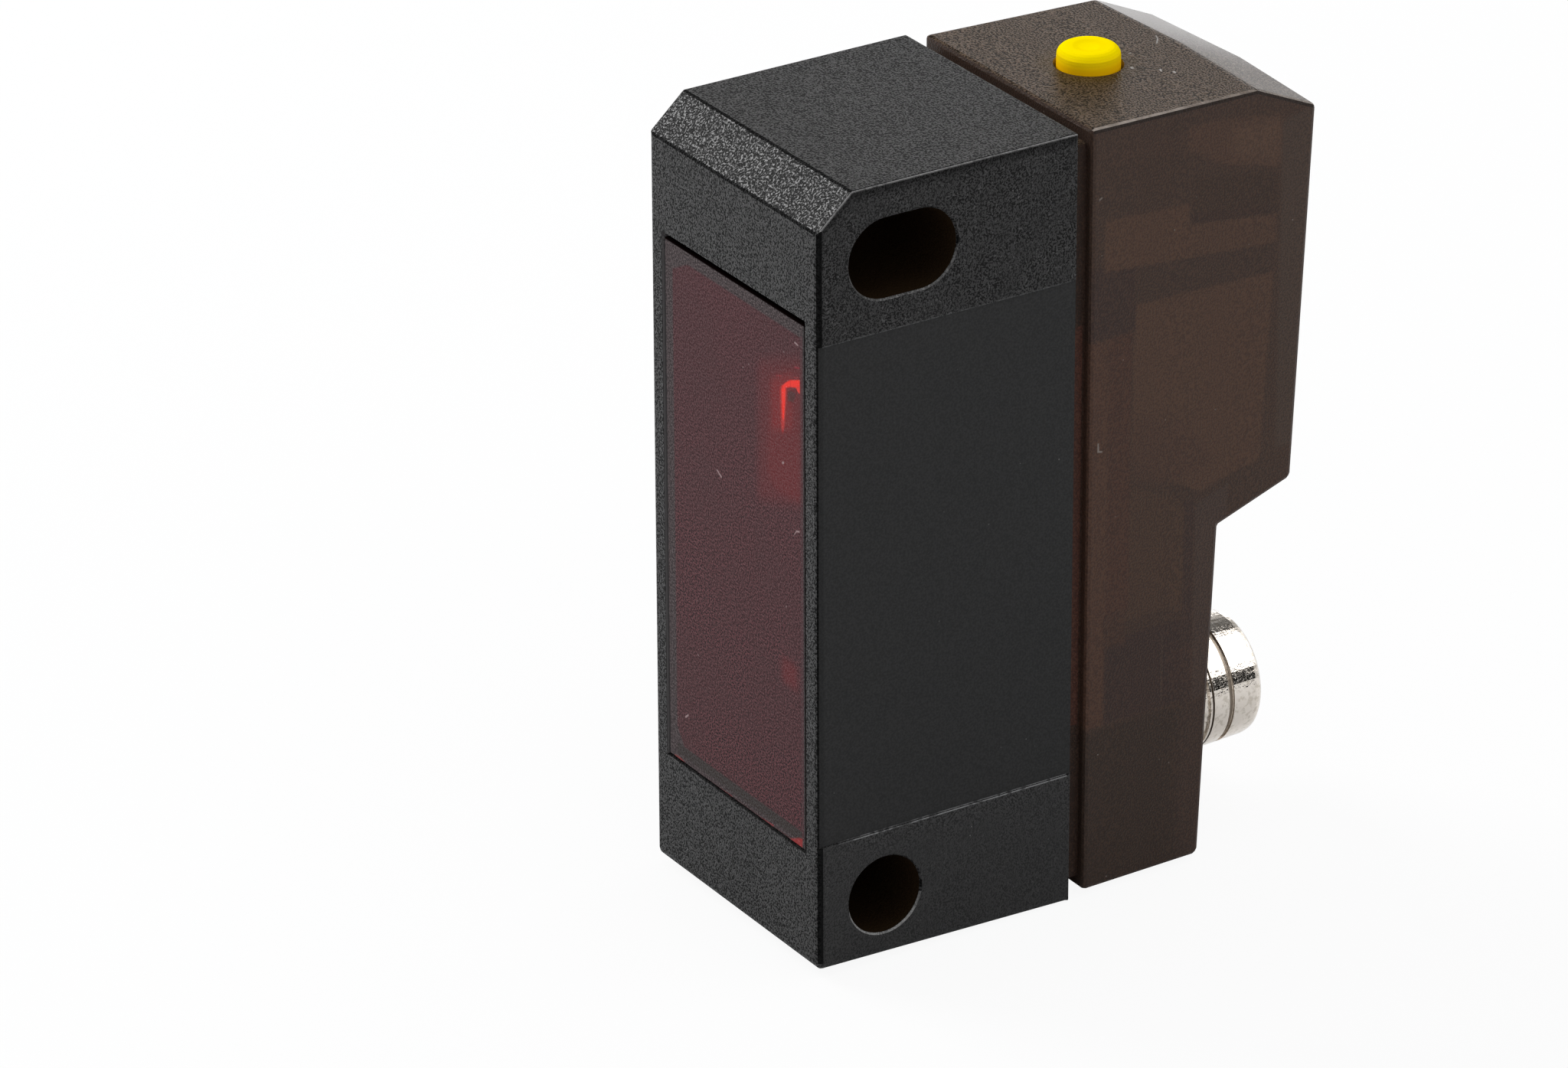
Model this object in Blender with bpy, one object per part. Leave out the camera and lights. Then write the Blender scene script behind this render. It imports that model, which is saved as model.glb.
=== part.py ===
"""Compact reflective optical sensor with a teach-in button and a round plug connector.

Units are metres and +Z is up. The optical window looks along -Y, the connector points along +Y,
and the two mounting holes run through the housing along X. Every piece is modelled in the
sensor's own layout, where y is the distance behind the front face and z the height above the
lowest edge. One empty then carries the whole layout, so that the origin lies at the bottom
centre of the bounding box.
"""
import bpy
import bmesh
from math import cos, pi, radians, sin
from mathutils import Matrix, Vector

MM = 0.001

# Front housing, the black block that carries the optics
HOUSING_WIDTH = 15.7 * MM
HOUSING_DEPTH = 15.55 * MM
HOUSING_HEIGHT = 43.5 * MM
HOUSING_CHAMFER_DEPTH = 2.05 * MM
HOUSING_CHAMFER_DROP = 1.85 * MM
UNDERSIDE_RISE = 0.42 * MM
BASE_ROUNDING = 0.45 * MM
FRONT_ROUNDING = 0.3 * MM
HOUSING_EDGE_BREAK = 0.1 * MM
SLEEVE_WALL = 0.9 * MM
POCKET_SIDE_WALL = 1.2 * MM
POCKET_ROOF_WALL = 1.7 * MM
REBATE_SIDE_WALL = 0.55 * MM
REBATE_ROOF_WALL = 0.8 * MM
REBATE_DEPTH = 3.0 * MM
LABEL_RECESS = 0.08 * MM
LABEL_BASE = 7.55 * MM
LABEL_HEIGHT = 27.95 * MM

# Mounting holes
HOLE_DIAMETER = 4.35 * MM
HOLE_SETBACK = 4.08 * MM
HOLE_HEIGHT = 3.8 * MM
HOLE_SPACING = 35.65 * MM
SLOT_TRAVEL = 2.05 * MM
HOLE_EDGE_BREAK = 0.09 * MM

# Window
WINDOW_WIDTH = 13.5 * MM
WINDOW_HEIGHT = 29.8 * MM
WINDOW_BASE = 6.8 * MM
WINDOW_SETBACK = 0.08 * MM
WINDOW_GAP = 0.2 * MM
WINDOW_SAG = 0.08 * MM
PANE_THICKNESS = 1.2 * MM
PANE_LEDGE = 1.25 * MM
PANE_BOSS = 1.1 * MM
PANE_EDGE_BREAK = 0.03 * MM

# Rear cover, the smoky translucent shell
GROOVE_WIDTH = 1.02 * MM
COVER_INSET = 0.2 * MM
COVER_SIDE_DRAFT = radians(1.4)
COVER_BASE = 0.3 * MM
COVER_TOP_DROP = 0.15 * MM
COVER_TOP_FALL = radians(1.2)
COVER_UPPER_DEPTH = 14.05 * MM
COVER_LOWER_DEPTH = 7.45 * MM
COVER_CHAMFER_DROP = 1.99 * MM
COVER_CHAMFER_DEPTH = 3.95 * MM
COVER_STEP_HEIGHT = 20.1 * MM
COVER_STEP_SLOPE = radians(18.2)
COVER_UPPER_LEAN = radians(3.0)
COVER_LOWER_LEAN = radians(2.6)
COVER_PROW = radians(4.9)
COVER_BROW_RISE = radians(0.95)
COVER_ROUNDING = 0.22 * MM
COVER_FOOT_ROUNDING = 0.45 * MM
COVER_STEP_ROUNDING = 0.35 * MM
COVER_SIDE_WALL = 1.25 * MM
COVER_BACK_WALL = 1.4 * MM
COVER_ROOF_WALL = 1.5 * MM
COVER_FLOOR_WALL = 1.5 * MM
SPIGOT_WALL = 1.0 * MM
SPIGOT_GAP = 0.2 * MM

# Seals and general fits
SEAT_GAP = 0.2 * MM
HOUSING_SEAL_THICKNESS = 0.6 * MM
HOUSING_SEAL_WIDTH = 0.8 * MM

# Teach-in button and its switch
BUTTON_SETBACK = 4.96 * MM
BUTTON_DIAMETER = 3.32 * MM
BUTTON_GAP = 0.17 * MM
BUTTON_STAND = 1.0 * MM
BUTTON_TRAVEL = 0.4 * MM
BUTTON_DISH_DIAMETER = 1.7 * MM
BUTTON_DISH_DEPTH = 0.1 * MM
BUTTON_ROUNDING = 0.5 * MM
BUTTON_COLLAR_DIAMETER = 5.0 * MM
BUTTON_COLLAR_HEIGHT = 0.7 * MM
BUTTON_STEM_DIAMETER = 2.0 * MM
BUTTON_STEM_LENGTH = 1.5 * MM
SWITCH_WIDTH = 3.5 * MM
SWITCH_DEPTH = 3.6 * MM
SWITCH_HEIGHT = 2.4 * MM
PLUNGER_DIAMETER = 1.4 * MM
PLUNGER_HEIGHT = 1.2 * MM
PLUNGER_STAND = 0.6 * MM
BOOT_WALL = 0.6 * MM
BOOT_HEIGHT = 0.7 * MM

# Optics
CARRIER_FRONT_GAP = 0.3 * MM
CARRIER_SIDE_GAP = 0.2 * MM
RECEIVER_LENS_DIAMETER = 9.4 * MM
EMITTER_LENS_DIAMETER = 7.6 * MM
LENS_RIM = 1.2 * MM
LENS_SAG = 1.1 * MM
LENS_GAP = 0.15 * MM
LENS_SEAT_LIP = 0.7 * MM
OPTICAL_BASE_OFFSET = 5.2 * MM
OPTICAL_SPACING = 13.0 * MM
LED_DIAMETER = 3.0 * MM
LED_HEIGHT = 2.2 * MM
LED_FLANGE_WIDTH = 0.2 * MM
LED_FLANGE_HEIGHT = 0.4 * MM
DIODE_WIDTH = 4.4 * MM
DIODE_HEIGHT = 3.9 * MM
DIODE_THICKNESS = 1.3 * MM

# Boards
BOARD_THICKNESS = 0.8 * MM
OPTICS_BOARD_SIDE_GAP = 0.5 * MM
OPTICS_BOARD_END_GAP = 0.8 * MM
BOARD_EDGE_BREAK = 0.05 * MM
MAIN_BOARD_BASE = 10.6 * MM
MAIN_BOARD_ABOVE_SWITCH = 0.9 * MM
MAIN_BOARD_OFFSET = 2.3 * MM
MAIN_BOARD_CLEARANCE = 0.7 * MM
HEADER_WIDTH = 2.4 * MM
HEADER_HEIGHT = 10.0 * MM
CHIP_SIZE = 4.8 * MM
CHIP_THICKNESS = 1.1 * MM
CHIP_OFFSET = 1.2 * MM
STATUS_LED_SIZE = 1.6 * MM
STATUS_LED_THICKNESS = 1.0 * MM
STATUS_LED_PITCH = 2.6 * MM

# Connector
CONNECTOR_HEIGHT = 6.1 * MM
CONNECTOR_REACH = 31.08 * MM
SHELL_RADIUS = 3.44 * MM
SHELL_BASE_RADIUS = 3.56 * MM
SHELL_BORE_RADIUS = 2.7 * MM
SHELL_FLANGE_RADIUS = 3.95 * MM
SHELL_FLANGE_THICKNESS = 0.8 * MM
SHELL_GROOVE_WIDTH = 0.33 * MM
SHELL_GROOVE_DEPTH = 0.14 * MM
SHELL_END_BAND = 1.98 * MM
SHELL_MIDDLE_BAND = 1.01 * MM
SHELL_LINE_WIDTH = 0.1 * MM
SHELL_THIN_BAND = 0.14 * MM
SHELL_NECK_WIDTH = 0.4 * MM
SHELL_NOSE_DEPTH = 0.5 * MM
SHELL_NOSE_LENGTH = 0.5 * MM
SHELL_LEAD_IN = 0.1 * MM
SHELL_HOLE_GAP = 0.15 * MM
INSERT_THICKNESS = 2.4 * MM
INSERT_GAP = 0.12 * MM
SEAL_RING_RADIUS = 0.2 * MM
SEAL_RING_GAP = 0.05 * MM
PIN_COUNT = 4
PIN_CIRCLE_RADIUS = 1.5 * MM
PIN_DIAMETER = 0.8 * MM
PIN_SETBACK = 1.6 * MM
PIN_GAP = 0.1 * MM
PIN_TAIL = 0.7 * MM
PIN_BOARD_WIDTH = 8.6 * MM
PIN_BOARD_HEIGHT = 7.4 * MM

# Facets round a full circle, by how large the round form is
SEGMENTS_LARGE = 64
SEGMENTS_SMALL = 32
SEGMENTS_TINY = 16
OVERSHOOT = 1.0 * MM


def clear_scene():
    for item in list(bpy.data.objects):
        bpy.data.objects.remove(item, do_unlink=True)


def make_material(name, colour, roughness, metallic=0.0, transmission=0.0):
    material = bpy.data.materials.new(name)
    material.use_nodes = True
    shader = material.node_tree.nodes["Principled BSDF"]
    shader.inputs["Base Color"].default_value = (*colour, 1.0)
    shader.inputs["Roughness"].default_value = roughness
    shader.inputs["Metallic"].default_value = metallic
    shader.inputs["Transmission Weight"].default_value = transmission
    material.diffuse_color = (*colour, 1.0)
    return material


def add_object(name, mesh_data, material, origin):
    """Make an object from a bmesh and hang it on the sensor's origin."""
    mesh = bpy.data.meshes.new(name)
    bmesh.ops.recalc_face_normals(mesh_data, faces=mesh_data.faces)
    mesh_data.to_mesh(mesh)
    mesh_data.free()
    item = bpy.data.objects.new(name, mesh)
    bpy.context.scene.collection.objects.link(item)
    item.parent = origin
    if material is not None:
        mesh.materials.append(material)
    return item


def shade_round(item, angle=radians(35)):
    item.data.shade_smooth()
    item.data.set_sharp_from_angle(angle=angle)


def add_bevel(item, width, segments=2, weighted=False, angle=radians(20)):
    bevel = item.modifiers.new("edge rounding", "BEVEL")
    bevel.width = width
    bevel.segments = segments
    bevel.limit_method = "WEIGHT" if weighted else "ANGLE"
    bevel.angle_limit = angle
    bevel.use_clamp_overlap = True
    return bevel


def combine(item, other, operation):
    """Add a live Boolean. The other object becomes a hidden wire guide."""
    boolean = item.modifiers.new(other.name, "BOOLEAN")
    boolean.operation = operation
    boolean.solver = "EXACT"
    boolean.object = other
    other.hide_render = True
    other.display_type = "WIRE"
    return boolean


def cut(item, cutter):
    return combine(item, cutter, "DIFFERENCE")


def join(item, guide):
    return combine(item, guide, "UNION")


def box_mesh(low, high):
    size = Vector(high) - Vector(low)
    middle = (Vector(high) + Vector(low)) / 2
    mesh_data = bmesh.new()
    matrix = Matrix.Translation(middle) @ Matrix.Diagonal((*size, 1.0))
    bmesh.ops.create_cube(mesh_data, size=1.0, matrix=matrix)
    return mesh_data


def prism_mesh(outline, low_x, high_x):
    """Extrude an outline of (y, z) points along X."""
    mesh_data = bmesh.new()
    corners = [mesh_data.verts.new((low_x, y, z)) for y, z in outline]
    face = mesh_data.faces.new(corners)
    made = bmesh.ops.extrude_face_region(mesh_data, geom=[face])
    moved = [item for item in made["geom"] if isinstance(item, bmesh.types.BMVert)]
    bmesh.ops.translate(mesh_data, vec=(high_x - low_x, 0, 0), verts=moved)
    return mesh_data


def turned_mesh(profile, segments):
    """Spin a closed profile of (radius, height) points round Z.

    A point at radius 0 closes the form, with one flat face if its neighbour is level with it.
    """
    mesh_data = bmesh.new()
    rings = []
    for radius, height in profile:
        if radius <= 0:
            rings.append([(0, 0, height)])
            continue
        angles = [2 * pi * step / segments for step in range(segments)]
        rings.append([mesh_data.verts.new((radius * cos(a), radius * sin(a), height)) for a in angles])
    pairs = list(zip(rings, rings[1:]))
    if len(rings[0]) > 1 and len(rings[-1]) > 1:
        pairs.append((rings[-1], rings[0]))
    for first, second in pairs:
        if len(first) == 1 or len(second) == 1:
            tip, ring = (first, second) if len(first) == 1 else (second, first)
            if abs(tip[0][2] - ring[0].co.z) < 1e-7:
                mesh_data.faces.new(ring)
            else:
                point = mesh_data.verts.new(tip[0])
                for step in range(segments):
                    mesh_data.faces.new((point, ring[step], ring[(step + 1) % segments]))
            continue
        for step in range(segments):
            after = (step + 1) % segments
            mesh_data.faces.new((first[step], second[step], second[after], first[after]))
    return mesh_data


def place_along_y(mesh_data, x, y, z):
    """Turn a Z-axis form so that its axis runs along +Y and put its foot at the point."""
    matrix = Matrix.Translation((x, y, z)) @ Matrix.Rotation(radians(-90), 4, "X")
    bmesh.ops.transform(mesh_data, matrix=matrix, verts=mesh_data.verts)
    return mesh_data


def round_bar(radius, low_y, high_y, x, z, segments):
    bar = turned_mesh([(0, 0), (radius, 0), (radius, high_y - low_y), (0, high_y - low_y)], segments)
    return place_along_y(bar, x, low_y, z)


def stadium(centre_y, centre_z, radius, travel, steps):
    """A slot's outline: two half circles joined by straight runs along Y."""
    half = steps // 2
    outline = []
    for side, start in ((1, -pi / 2), (-1, pi / 2)):
        for step in range(half + 1):
            angle = start + pi * step / half
            y = centre_y + side * travel / 2 + radius * cos(angle)
            outline.append((y, centre_z + radius * sin(angle)))
    return outline


def layout():
    """Work out the shared planes and places from the driving dimensions."""
    place = {}
    place["half_width"] = HOUSING_WIDTH / 2
    place["slot_front"] = HOLE_SETBACK
    place["slot_height"] = HOLE_HEIGHT + HOLE_SPACING
    place["sleeve_back"] = HOLE_SETBACK + SLOT_TRAVEL + HOLE_DIAMETER / 2 + SLEEVE_WALL
    place["window_top"] = WINDOW_BASE + WINDOW_HEIGHT
    place["ledge_front"] = WINDOW_SETBACK + PANE_THICKNESS + SEAT_GAP
    place["chamber_half"] = WINDOW_WIDTH / 2 - PANE_LEDGE
    place["chamber_base"] = WINDOW_BASE + PANE_LEDGE
    place["chamber_top"] = place["window_top"] - PANE_LEDGE
    place["rebate_floor"] = HOUSING_DEPTH - REBATE_DEPTH
    place["rebate_half"] = HOUSING_WIDTH / 2 - REBATE_SIDE_WALL
    place["rebate_base"] = REBATE_ROOF_WALL
    place["rebate_top"] = HOUSING_HEIGHT - REBATE_ROOF_WALL
    place["pocket_half"] = HOUSING_WIDTH / 2 - POCKET_SIDE_WALL
    place["pocket_base"] = POCKET_ROOF_WALL
    place["pocket_top"] = HOUSING_HEIGHT - POCKET_ROOF_WALL

    place["cover_front"] = HOUSING_DEPTH + GROOVE_WIDTH
    place["cover_half"] = HOUSING_WIDTH / 2 - COVER_INSET
    place["cover_top"] = HOUSING_HEIGHT - COVER_TOP_DROP
    place["spigot_half"] = place["rebate_half"] - SPIGOT_GAP
    place["spigot_base"] = place["rebate_base"] + SPIGOT_GAP
    place["spigot_top"] = place["rebate_top"] - SPIGOT_GAP
    place["spigot_end"] = place["rebate_floor"] + HOUSING_SEAL_THICKNESS + 2 * SEAT_GAP
    place["cavity_base"] = max(COVER_BASE + COVER_FLOOR_WALL, place["spigot_base"] + SPIGOT_WALL)
    place["cavity_top"] = place["spigot_top"] - SPIGOT_WALL

    place["upper_back"] = place["cover_front"] + COVER_UPPER_DEPTH
    place["lower_back"] = place["cover_front"] + COVER_LOWER_DEPTH
    place["cavity_half"] = half_cover_width(place, place["upper_back"]) - COVER_SIDE_WALL
    place["prow_reach"] = cover_profile(place)[4][0]
    place["reach"] = max(place["prow_reach"], CONNECTOR_REACH)

    place["button_y"] = place["cover_front"] + BUTTON_SETBACK
    place["roof_at_button"] = cover_roof(place, place["button_y"])
    place["button_top"] = place["roof_at_button"] + BUTTON_STAND
    place["collar_top"] = place["cavity_top"] - SEAT_GAP
    place["stem_end"] = place["collar_top"] - BUTTON_COLLAR_HEIGHT - BUTTON_STEM_LENGTH
    place["plunger_top"] = place["stem_end"] - SEAT_GAP
    place["switch_top"] = place["plunger_top"] - PLUNGER_STAND
    place["switch_base"] = place["switch_top"] - SWITCH_HEIGHT

    place["carrier_front"] = place["ledge_front"] + PANE_BOSS + CARRIER_FRONT_GAP
    place["carrier_back"] = place["sleeve_back"]
    place["optics_board_front"] = place["sleeve_back"] + SEAT_GAP
    place["optics_board_back"] = place["optics_board_front"] + BOARD_THICKNESS
    place["main_board_top"] = place["switch_top"] + MAIN_BOARD_ABOVE_SWITCH
    place["emitter_z"] = place["chamber_base"] + OPTICAL_BASE_OFFSET
    place["receiver_z"] = place["emitter_z"] + OPTICAL_SPACING

    place["main_board_face"] = -MAIN_BOARD_OFFSET
    place["main_board_front"] = place["optics_board_back"] + HEADER_WIDTH + 2 * SEAT_GAP
    place["lower_wall_y"] = place["lower_back"] + lean_at(COVER_LOWER_LEAN, CONNECTOR_HEIGHT)
    place["inner_wall_y"] = place["lower_back"] - COVER_BACK_WALL
    return place


def lean_at(lean, height):
    """How far a leaning rear face has moved back at a height above the cover's base."""
    return (height - COVER_BASE) * sin(lean) / cos(lean)


def half_cover_width(place, y):
    return place["cover_half"] - (y - place["cover_front"]) * sin(COVER_SIDE_DRAFT) / cos(COVER_SIDE_DRAFT)


def cover_roof(place, y):
    fall = sin(COVER_TOP_FALL) / cos(COVER_TOP_FALL)
    return place["cover_top"] - (y - place["cover_front"]) * fall


def cover_profile(place):
    """The cover's outline on its middle plane, where the prow reaches furthest back."""
    front = place["cover_front"]
    step_rise = sin(COVER_STEP_SLOPE) / cos(COVER_STEP_SLOPE)
    upper_lean = sin(COVER_UPPER_LEAN) / cos(COVER_UPPER_LEAN)
    prow = half_cover_width(place, place["upper_back"]) * sin(COVER_PROW) / cos(COVER_PROW)
    brow_z = place["cover_top"] - COVER_CHAMFER_DROP
    brow_y = place["upper_back"] + prow
    inner_y = place["lower_back"] + lean_at(COVER_LOWER_LEAN, COVER_STEP_HEIGHT)
    span = brow_y - (brow_z - COVER_STEP_HEIGHT) * upper_lean - inner_y
    run = span / (1 - step_rise * upper_lean)
    chamfer_y = brow_y - COVER_CHAMFER_DEPTH
    return [
        (front, COVER_BASE),
        (place["lower_back"], COVER_BASE),
        (inner_y, COVER_STEP_HEIGHT - run * step_rise / 2),
        (inner_y + run, COVER_STEP_HEIGHT + run * step_rise / 2),
        (brow_y, brow_z),
        (chamfer_y, cover_roof(place, chamfer_y)),
        (front, place["cover_top"]),
    ]


def meeting_point(planes):
    """The point shared by three planes, each given as a point on it and its normal."""
    normals = Matrix([normal for point, normal in planes])
    offsets = Vector([Vector(point).dot(Vector(normal)) for point, normal in planes])
    return normals.inverted() @ offsets


def cover_body_mesh(place):
    """The cover's outer block: drafted sides, a slanted step and a rear that meets in a ridge."""
    profile = cover_profile(place)
    front, base, inner, step, brow, chamfer, top = profile
    mesh_data = bmesh.new()
    middle = [mesh_data.verts.new((0, y, z)) for y, z in profile]
    for side in (-1, 1):
        sideways = Vector((side, -sin(COVER_PROW) / cos(COVER_PROW), sin(COVER_BROW_RISE)))
        flank = ((side * place["cover_half"], front[0], 0), (side * cos(COVER_SIDE_DRAFT), sin(COVER_SIDE_DRAFT), 0))
        floor = ((0, 0, COVER_BASE), (0, 0, 1))
        face = ((0, front[0], 0), (0, 1, 0))
        lower = ((0, *base), Vector((1, 0, 0)).cross(Vector((0, inner[0] - base[0], inner[1] - base[1]))))
        ledge = ((0, *inner), Vector((1, 0, 0)).cross(Vector((0, step[0] - inner[0], step[1] - inner[1]))))
        upper = ((0, *brow), sideways.cross(Vector((0, brow[0] - step[0], brow[1] - step[1]))))
        slope = ((0, *brow), sideways.cross(Vector((0, brow[0] - chamfer[0], brow[1] - chamfer[1]))))
        roof = ((0, *top), Vector((1, 0, 0)).cross(Vector((0, chamfer[0] - top[0], chamfer[1] - top[1]))))
        ring = [face, floor, lower, ledge, upper, slope, roof]
        corners = []
        for number, plane in enumerate(ring):
            after = ring[(number + 1) % len(ring)]
            corners.append(mesh_data.verts.new(meeting_point((
                tuple(unit(item) for item in (plane, after))) + (flank,))))
        for number in range(len(ring)):
            after = (number + 1) % len(ring)
            mesh_data.faces.new((middle[number], middle[after], corners[after], corners[number]))
        mesh_data.faces.new(corners)
    weigh_cover_edges(mesh_data, profile)
    return mesh_data


def weigh_cover_edges(mesh_data, profile):
    """Round the foot and the step more than the other edges, and leave the ridge sharp."""
    radii = {1: COVER_FOOT_ROUNDING, 3: COVER_STEP_ROUNDING}
    bmesh.ops.recalc_face_normals(mesh_data, faces=mesh_data.faces)
    weight = mesh_data.edges.layers.float.new("bevel_weight_edge")
    for edge in mesh_data.edges:
        first, second = edge.verts[0].co, edge.verts[1].co
        if edge.calc_face_angle(0) < radians(20):
            edge[weight] = 0.0
            continue
        edge[weight] = min(1.0, COVER_ROUNDING / COVER_FOOT_ROUNDING)
        for number, radius in radii.items():
            corner = Vector((0, *profile[number]))
            across = abs(first.x - second.x) > COVER_FOOT_ROUNDING
            if across and min((first - corner).length, (second - corner).length) < 1e-6:
                edge[weight] = min(1.0, radius / COVER_FOOT_ROUNDING)


def unit(plane):
    return plane[0], Vector(plane[1]).normalized()


def build_front_housing(place, origin, material):
    half = place["half_width"]
    outline = [
        (0, UNDERSIDE_RISE),
        (0, HOUSING_HEIGHT - HOUSING_CHAMFER_DROP),
        (HOUSING_CHAMFER_DEPTH, HOUSING_HEIGHT),
        (HOUSING_DEPTH, HOUSING_HEIGHT),
        (HOUSING_DEPTH, 0),
    ]
    mesh_data = prism_mesh(outline, -half, half)
    weight = mesh_data.edges.layers.float.new("bevel_weight_edge")
    low_edge = UNDERSIDE_RISE + 1e-6
    for edge in mesh_data.edges:
        first, second = edge.verts[0].co, edge.verts[1].co
        at_base = first.z < low_edge and second.z < low_edge
        at_front = max(abs(first.y), abs(second.y)) < 1e-6
        at_back = min(first.y, second.y) > HOUSING_DEPTH - 1e-6
        upright = abs(first.z - second.z) > HOUSING_HEIGHT / 2
        if at_base and not at_back:
            edge[weight] = 1.0
        elif at_front and upright:
            edge[weight] = min(1.0, FRONT_ROUNDING / BASE_ROUNDING)
        else:
            edge[weight] = min(1.0, HOUSING_EDGE_BREAK / BASE_ROUNDING)
    housing = add_object("front_housing", mesh_data, material, origin)
    add_bevel(housing, BASE_ROUNDING, segments=3, weighted=True)

    through = half + OVERSHOOT
    window_half = WINDOW_WIDTH / 2
    behind = HOUSING_DEPTH + OVERSHOOT
    cutters = {
        "cut_round_hole": flared_hole_mesh(HOLE_SETBACK, HOLE_HEIGHT, 0, half),
        "cut_slot": flared_hole_mesh(
            place["slot_front"] + SLOT_TRAVEL / 2, place["slot_height"], SLOT_TRAVEL, half),
        "cut_window_recess": box_mesh(
            (-window_half, -OVERSHOOT, WINDOW_BASE),
            (window_half, place["ledge_front"], place["window_top"])),
        "cut_optical_chamber": box_mesh(
            (-place["chamber_half"], 0, place["chamber_base"]),
            (place["chamber_half"], place["sleeve_back"] + OVERSHOOT, place["chamber_top"])),
        "cut_rear_pocket": box_mesh(
            (-place["pocket_half"], place["sleeve_back"], place["pocket_base"]),
            (place["pocket_half"], behind, place["pocket_top"])),
        "cut_rebate": box_mesh(
            (-place["rebate_half"], place["rebate_floor"], place["rebate_base"]),
            (place["rebate_half"], behind, place["rebate_top"])),
    }
    label_top = LABEL_BASE + LABEL_HEIGHT
    for name, side in (("cut_label_left", -1), ("cut_label_right", 1)):
        near, far = side * (half - LABEL_RECESS), side * through
        cutters[name] = box_mesh(
            (min(near, far), -OVERSHOOT, LABEL_BASE), (max(near, far), behind, label_top))
    for name, cutter in cutters.items():
        cut(housing, add_object(name, cutter, None, origin))
    return housing


def flared_hole_mesh(centre_y, centre_z, travel, half):
    """A mounting hole's cutter, which widens at both sides to break the hole's edges."""
    radius = HOLE_DIAMETER / 2
    inner = half - HOLE_EDGE_BREAK
    wide = radius + HOLE_EDGE_BREAK + OVERSHOOT
    mesh_data = bmesh.new()
    rings = []
    for x, size in ((-half - OVERSHOOT, wide), (-inner, radius), (inner, radius), (half + OVERSHOOT, wide)):
        outline = stadium(centre_y, centre_z, size, travel, SEGMENTS_LARGE)
        rings.append([mesh_data.verts.new((x, y, z)) for y, z in outline])
    count = len(rings[0])
    for first, second in zip(rings, rings[1:]):
        for step in range(count):
            after = (step + 1) % count
            mesh_data.faces.new((first[step], first[after], second[after], second[step]))
    mesh_data.faces.new(rings[0])
    mesh_data.faces.new(rings[-1])
    bmesh.ops.remove_doubles(mesh_data, verts=mesh_data.verts, dist=1e-6)
    return mesh_data


def build_front_window(place, origin, material):
    half = WINDOW_WIDTH / 2 - WINDOW_GAP
    base = WINDOW_BASE + WINDOW_GAP - WINDOW_SAG
    top = place["window_top"] - WINDOW_GAP - WINDOW_SAG
    back = WINDOW_SETBACK + PANE_THICKNESS
    window = add_object(
        "front_window", box_mesh((-half, WINDOW_SETBACK, base), (half, back, top)), material, origin)
    add_bevel(window, PANE_EDGE_BREAK, segments=1)
    boss_half = place["chamber_half"] - WINDOW_GAP
    boss = box_mesh(
        (-boss_half, WINDOW_SETBACK + PANE_THICKNESS / 2, place["chamber_base"] + WINDOW_GAP),
        (boss_half, place["ledge_front"] + PANE_BOSS, place["chamber_top"] - WINDOW_GAP))
    join(window, add_object("guide_window_boss", boss, None, origin))
    return window


def build_rear_cover(place, origin, material):
    cover = add_object("rear_cover", cover_body_mesh(place), material, origin)
    add_bevel(cover, COVER_FOOT_ROUNDING, segments=2, weighted=True)
    front = place["cover_front"]
    spigot = box_mesh(
        (-place["spigot_half"], place["spigot_end"], place["spigot_base"]),
        (place["spigot_half"], front + SPIGOT_WALL, place["spigot_top"]))
    join(cover, add_object("guide_spigot", spigot, None, origin))

    inner, step, brow, chamfer = cover_profile(place)[2:6]
    prow = brow[0] - place["upper_back"]
    upper_lean = sin(COVER_UPPER_LEAN) / cos(COVER_UPPER_LEAN)
    top = place["cavity_top"]
    start = place["spigot_end"] - OVERSHOOT
    upper_y = step[0] - prow - COVER_BACK_WALL
    ceiling_y = upper_y + (top - step[1]) * upper_lean
    slope_y = chamfer[0] - prow - COVER_BACK_WALL
    lower_y = inner[0] - COVER_BACK_WALL
    floor_lift = COVER_BACK_WALL
    brow_drop = (chamfer[1] - brow[1]) / (brow[0] - chamfer[0])
    outline = [
        (start, place["cavity_base"]),
        (place["lower_back"] - COVER_BACK_WALL, place["cavity_base"]),
        (lower_y, inner[1] + floor_lift),
        (upper_y, step[1] + floor_lift),
        (ceiling_y, min(top, cover_roof(place, slope_y) - COVER_ROOF_WALL - (ceiling_y - slope_y) * brow_drop)),
        (slope_y, min(top, cover_roof(place, slope_y) - COVER_ROOF_WALL)),
        (start, min(top, cover_roof(place, slope_y) - COVER_ROOF_WALL)),
    ]
    cavity = prism_mesh(outline, -place["cavity_half"], place["cavity_half"])
    cut(cover, add_object("cut_cover_cavity", cavity, None, origin))

    button_radius = BUTTON_DIAMETER / 2 + BUTTON_GAP
    drill = turned_mesh([(0, 0), (button_radius, 0), (button_radius, 1), (0, 1)], SEGMENTS_LARGE)
    low, high = place["cavity_top"] - 2 * OVERSHOOT, place["cover_top"] + OVERSHOOT
    matrix = Matrix.Translation((0, place["button_y"], low)) @ Matrix.Diagonal((1, 1, high - low, 1))
    bmesh.ops.transform(drill, matrix=matrix, verts=drill.verts)
    cut(cover, add_object("cut_button_hole", drill, None, origin))

    shell_radius = SHELL_BASE_RADIUS + SHELL_HOLE_GAP
    bore = round_bar(
        shell_radius, place["inner_wall_y"] - 2 * OVERSHOOT, place["lower_wall_y"] + 2 * OVERSHOOT,
        0, CONNECTOR_HEIGHT, SEGMENTS_LARGE)
    cut(cover, add_object("cut_connector_hole", bore, None, origin))
    return cover


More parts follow.
